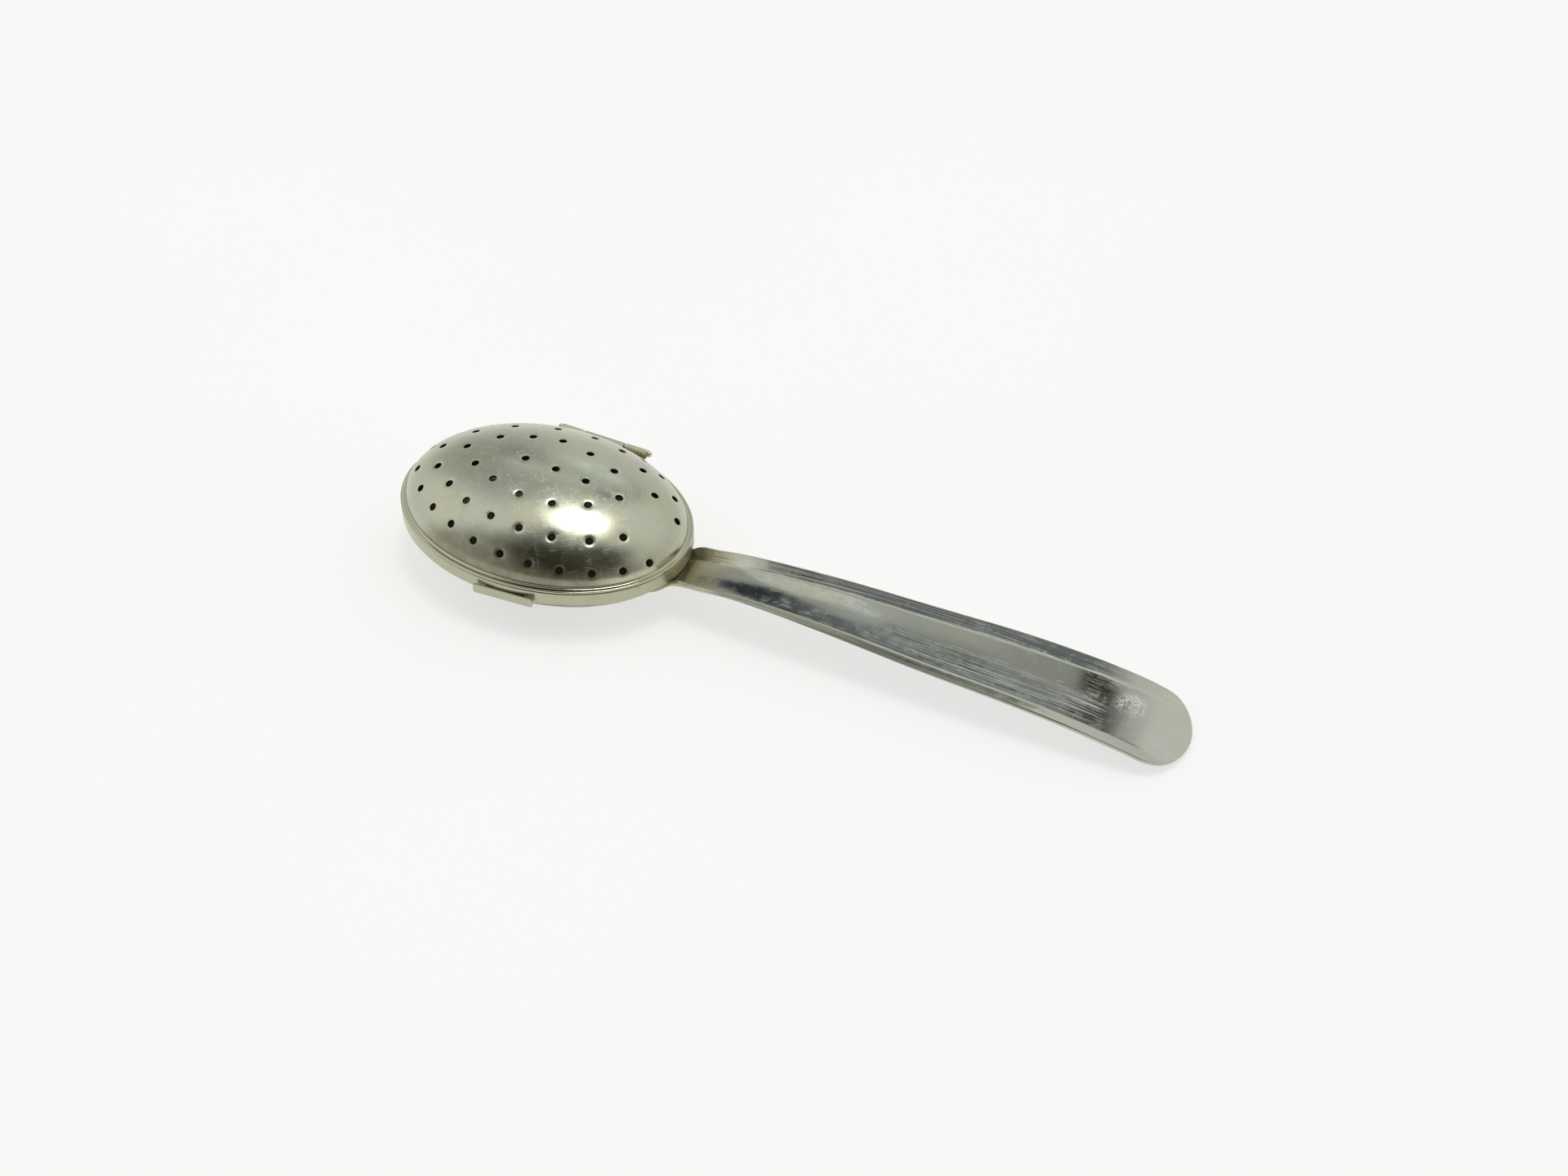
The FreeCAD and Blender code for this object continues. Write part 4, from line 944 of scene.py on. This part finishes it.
def lip_wedge():
    """Solder between the collar and the strip: hollow-faced where it wetted both."""
    M = Mesh()
    rows = []
    n = 27
    for i, u in enumerate(np.linspace(-1, 1, n)):
        x = LX + 3.7 * u
        yc = -19.7 * math.sqrt(1 - (x / 27.0) ** 2)
        f = math.sqrt(max(0.0, 1 - abs(u) ** 6)) * 0.44 + 0.02
        z0 = LIP_TOP - 0.62
        ring = []
        sec = []
        for q in np.linspace(0, 1, 6):
            hgt = f * (0.62 + 0.38 * (2 * q - 1) ** 2)
            sec.append((q, z0 + hgt * 0.95))
        low = [(q, 2 * z0 - z) for q, z in reversed(sec)]
        for q, z in sec + low:
            lx = (x - LX)
            # the strip's inner face at this x and z
            zz = z - LIP_TOP
            ys = LY + lx * math.tan(LT) - 0.02 / math.cos(LT) + zz * math.tan(LEAN)
            y = yc - 0.004 + (min(ys, yc - 0.03) + 0.004 - yc) * q
            ring.append((x, y, z))
        rows.append(M.add(ring) + np.arange(len(ring)))
    M.quads(rows, close=True)
    M.f.append(tuple(rows[0][::-1]))
    M.f.append(tuple(rows[-1]))
    return M.build("lip_solder_fillet", solder_mat, "spoon", ["lip_solder"])


lid_pressing()
bowl_pressing()
collar_band()
closing_band()
handle_sheet()
half = 7.9 / 2
knuckle("collar_knuckle_left_roll", HX - half - 0.42 - 4.3, HX - half - 0.42, end_path, 0.32, "spoon", "collar_knuckle_left")
knuckle("collar_knuckle_right_roll", HX + half + 0.42, HX + half + 0.42 + 4.3, end_path, 0.32, "spoon", "collar_knuckle_right")
knuckle("lid_knuckle_roll", HX - half, HX + half, lid_path, 0.29, "lid", "lid_knuckle")
pin_turned()
lip_strip()
lip_wedge()

# ------------------------------------------------------------------ floor
fm = bpy.data.materials.new("floor_paper")
fm.use_nodes = True
ft = fm.node_tree
ft.nodes.clear()
k = Nodes(ft)
fo = k.n("ShaderNodeOutputMaterial")
fd = k.n("ShaderNodeBsdfDiffuse")
fe = k.n("ShaderNodeEmission")
fe.inputs["Color"].default_value = rgb(1.0, 1.0, 0.995)
fe.inputs["Strength"].default_value = 0.62
fa = k.n("ShaderNodeAddShader")
k.link(fd.outputs[0], fa.inputs[0])
k.link(fe.outputs[0], fa.inputs[1])
k.link(fa.outputs[0], fo.inputs[0])
tc = k.n("ShaderNodeTexCoord")
pn = k.noise(tc.outputs["Object"], 3.0, 3.0, 0.5)
k.link(k.mix(k.ramp(pn, 0.3, 0.7), rgb(0.375, 0.375, 0.37), rgb(0.39, 0.39, 0.385)), fd.inputs["Color"])
floor_me = bpy.data.meshes.new("floor")
S = 4.0
floor_me.from_pydata([(-S, -S, -2e-5), (S, -S, -2e-5), (S, S, -2e-5), (-S, S, -2e-5)], [], [(0, 1, 2, 3)])
floor = bpy.data.objects.new("floor", floor_me)
scene.collection.objects.link(floor)
floor_me.materials.append(fm)

# ------------------------------------------------------------------ light
wd = bpy.data.worlds.new("studio")
scene.world = wd
wd.use_nodes = True
wt = wd.node_tree
wt.nodes.clear()
k = Nodes(wt)
wo = k.n("ShaderNodeOutputWorld")
bg = k.n("ShaderNodeBackground")
k.link(bg.outputs[0], wo.inputs[0])
direction = k.vmath("NORMALIZE", k.n("ShaderNodeTexCoord").outputs["Generated"])
sep = k.n("ShaderNodeSeparateXYZ")
k.link(direction, sep.inputs[0])
zz = sep.outputs["Z"]


def lobe(az, el, half_az, half_el, soft, colour, under, tilt=0.0):
    """A soft-edged oval card in the room, as a region of the surroundings."""
    a, e = math.radians(az), math.radians(el)
    c = Vector((math.cos(e) * math.cos(a), math.cos(e) * math.sin(a), math.sin(e)))
    u = Vector((-math.sin(a), math.cos(a), 0))
    v = c.cross(u)
    tl = math.radians(tilt)
    u, v = u * math.cos(tl) + v * math.sin(tl), v * math.cos(tl) - u * math.sin(tl)
    su, sv = math.sin(math.radians(half_az)), math.sin(math.radians(half_el))
    du = k.vmath("DOT_PRODUCT", direction, tuple(u / su))
    dv = k.vmath("DOT_PRODUCT", direction, tuple(v / sv))
    front = k.ramp(k.vmath("DOT_PRODUCT", direction, tuple(c)), 0.0, 0.05)
    rr = k.math("POWER", k.math("ADD", k.math("POWER", k.math("ABSOLUTE", du), 3.0), k.math("POWER", k.math("ABSOLUTE", dv), 3.0)), 1 / 3.0)
    f = k.math("MULTIPLY", k.ramp(rr, 1.0 + soft, 1.0 - soft), front)
    return k.mix(f, under, colour)


sky = k.mix(k.ramp(zz, 0.0, 0.5), rgb(0.84, 0.845, 0.82), rgb(0.79, 0.80, 0.78))
sky = lobe(-172, 48, 30, 40, 0.45, rgb(0.97, 0.97, 0.95), sky)
sky = lobe(58, 50, 24, 18, 0.5, rgb(0.92, 0.92, 0.91), sky)
sky = lobe(136, 38, 17, 27, 0.5, rgb(0.50, 0.51, 0.49), sky)
sky = lobe(-62, 6, 50, 30, 0.45, rgb(0.225, 0.22, 0.175), sky)
sky = lobe(-66, 51, 36, 27, 0.26, rgb(0.080, 0.076, 0.064), sky)
sky = lobe(90.0, 38.0, 7.5, 8.5, 0.6, rgb(0.44, 0.45, 0.43), sky)
sky = lobe(-132, 79, 7.0, 19, 0.3, rgb(0.205, 0.22, 0.24), sky, tilt=11.5)
# a dark, bent strip: what the handle's trough shows along its near side
sky = lobe(118.8, 37.6, 12.0, 4.5, 0.25, rgb(0.050, 0.060, 0.075), sky, tilt=-42.0)
sky = lobe(105, 42.5, 9.5, 4.2, 0.35, rgb(0.18, 0.205, 0.23), sky, tilt=-14.0)
sky = lobe(100.0, 50.5, 5.0, 5.0, 0.5, rgb(0.46, 0.47, 0.45), sky)
sky = lobe(93.0, 48.0, 2.0, 10.0, 0.32, rgb(0.035, 0.04, 0.035), sky, tilt=-3.2)
k.link(sky, bg.inputs["Color"])
bg.inputs["Strength"].default_value = 1.0


def area(name, az, el, dist, sx, sy, power, colour, target=(0.0, 0.0, 0.012), glossy=True):
    li = bpy.data.lights.new(name, "AREA")
    li.shape = "ELLIPSE"
    li.size, li.size_y = sx, sy
    li.energy = power
    li.color = colour
    ob = bpy.data.objects.new(name, li)
    scene.collection.objects.link(ob)
    a, e = math.radians(az), math.radians(el)
    d = Vector((math.cos(e) * math.cos(a), math.cos(e) * math.sin(a), math.sin(e)))
    ob.location = Vector(target) + d * dist
    ob.rotation_euler = (-d).to_track_quat("-Z", "Y").to_euler()
    ob.visible_glossy = glossy
    ob.visible_camera = False
    return ob


lamp = area("lamp", 122, 79.0, 0.60, 0.20, 0.20, 0.74, (1.0, 0.99, 0.96))
lamp_at = Vector(world(np.array([-8.0, 102.0, 588.0])).tolist())
lamp.location = lamp_at
lamp.rotation_euler = (Vector((0.007, -0.008, 0.0175)) - lamp_at).to_track_quat("-Z", "Y").to_euler()
# a card that only the bowl sees, so that the flag over the handle stays faint
# in the dome's reflection
card = area("bowl_card", 110, 40.0, 0.60, 0.40, 0.20, 0.09, (0.97, 1.0, 0.98))
bowl_only = bpy.data.collections.new("bowl_only")
handle_only = bpy.data.collections.new("handle_only")
lamp_on = bpy.data.collections.new("lamp_on")
for ob in scene.objects:
    if ob.type == "MESH":
        if ob.name == "handle_sheet":
            handle_only.objects.link(ob)
        else:
            lamp_on.objects.link(ob)
        if ob.name in ("lid_shell_sheet", "rim_collar_band", "lid_knuckle_roll", "collar_knuckle_left_roll",
                       "collar_knuckle_right_roll", "hinge_pin_wire"):
            bowl_only.objects.link(ob)
lamp.light_linking.receiver_collection = lamp_on
card2 = area("handle_card", 127, 47.5, 0.60, 0.30, 0.11, 0.030, (1.0, 1.0, 0.97), target=(0.045, 0.0, 0.006))
card2.light_linking.receiver_collection = handle_only
card3 = area("handle_root_card", -119, 30.0, 0.60, 0.22, 0.25, 0.048, (1.0, 0.98, 0.88), target=(0.035, 0.004, 0.006))
card3.light_linking.receiver_collection = handle_only
card.light_linking.receiver_collection = bowl_only
sun_d = bpy.data.lights.new("fill", "SUN")
sun_d.energy = 0.30
sun_d.angle = math.radians(120)
sun = bpy.data.objects.new("fill", sun_d)
sun.rotation_euler = (math.radians(-10), math.radians(4), 0)
sun.visible_glossy = False
scene.collection.objects.link(sun)

# ------------------------------------------------------------------ camera
cam_d = bpy.data.cameras.new("camera")
cam_d.sensor_fit = "HORIZONTAL"
cam_d.sensor_width = 36.0
cam_d.lens = 3000.0 / 1920.0 * 36.0
cam_d.clip_start = 0.01
cam_d.clip_end = 20.0
cam = bpy.data.objects.new("camera", cam_d)
scene.collection.objects.link(cam)
loc = world(np.array([174.2386, -269.1964, 284.1138]))
right = turn(np.array([0.902489, 0.430714, 0.000242]))
up = turn(np.array([-0.297174, 0.622273, 0.724199]))
fwd = turn(np.array([-0.311772, 0.653653, -0.689591]))
Mx = Matrix(((right[0], up[0], -fwd[0], loc[0]), (right[1], up[1], -fwd[1], loc[1]),
             (right[2], up[2], -fwd[2], loc[2]), (0, 0, 0, 1)))
cam.matrix_world = Mx
scene.camera = cam

scene.view_settings.view_transform = "Standard"
scene.view_settings.look = "None"

import json
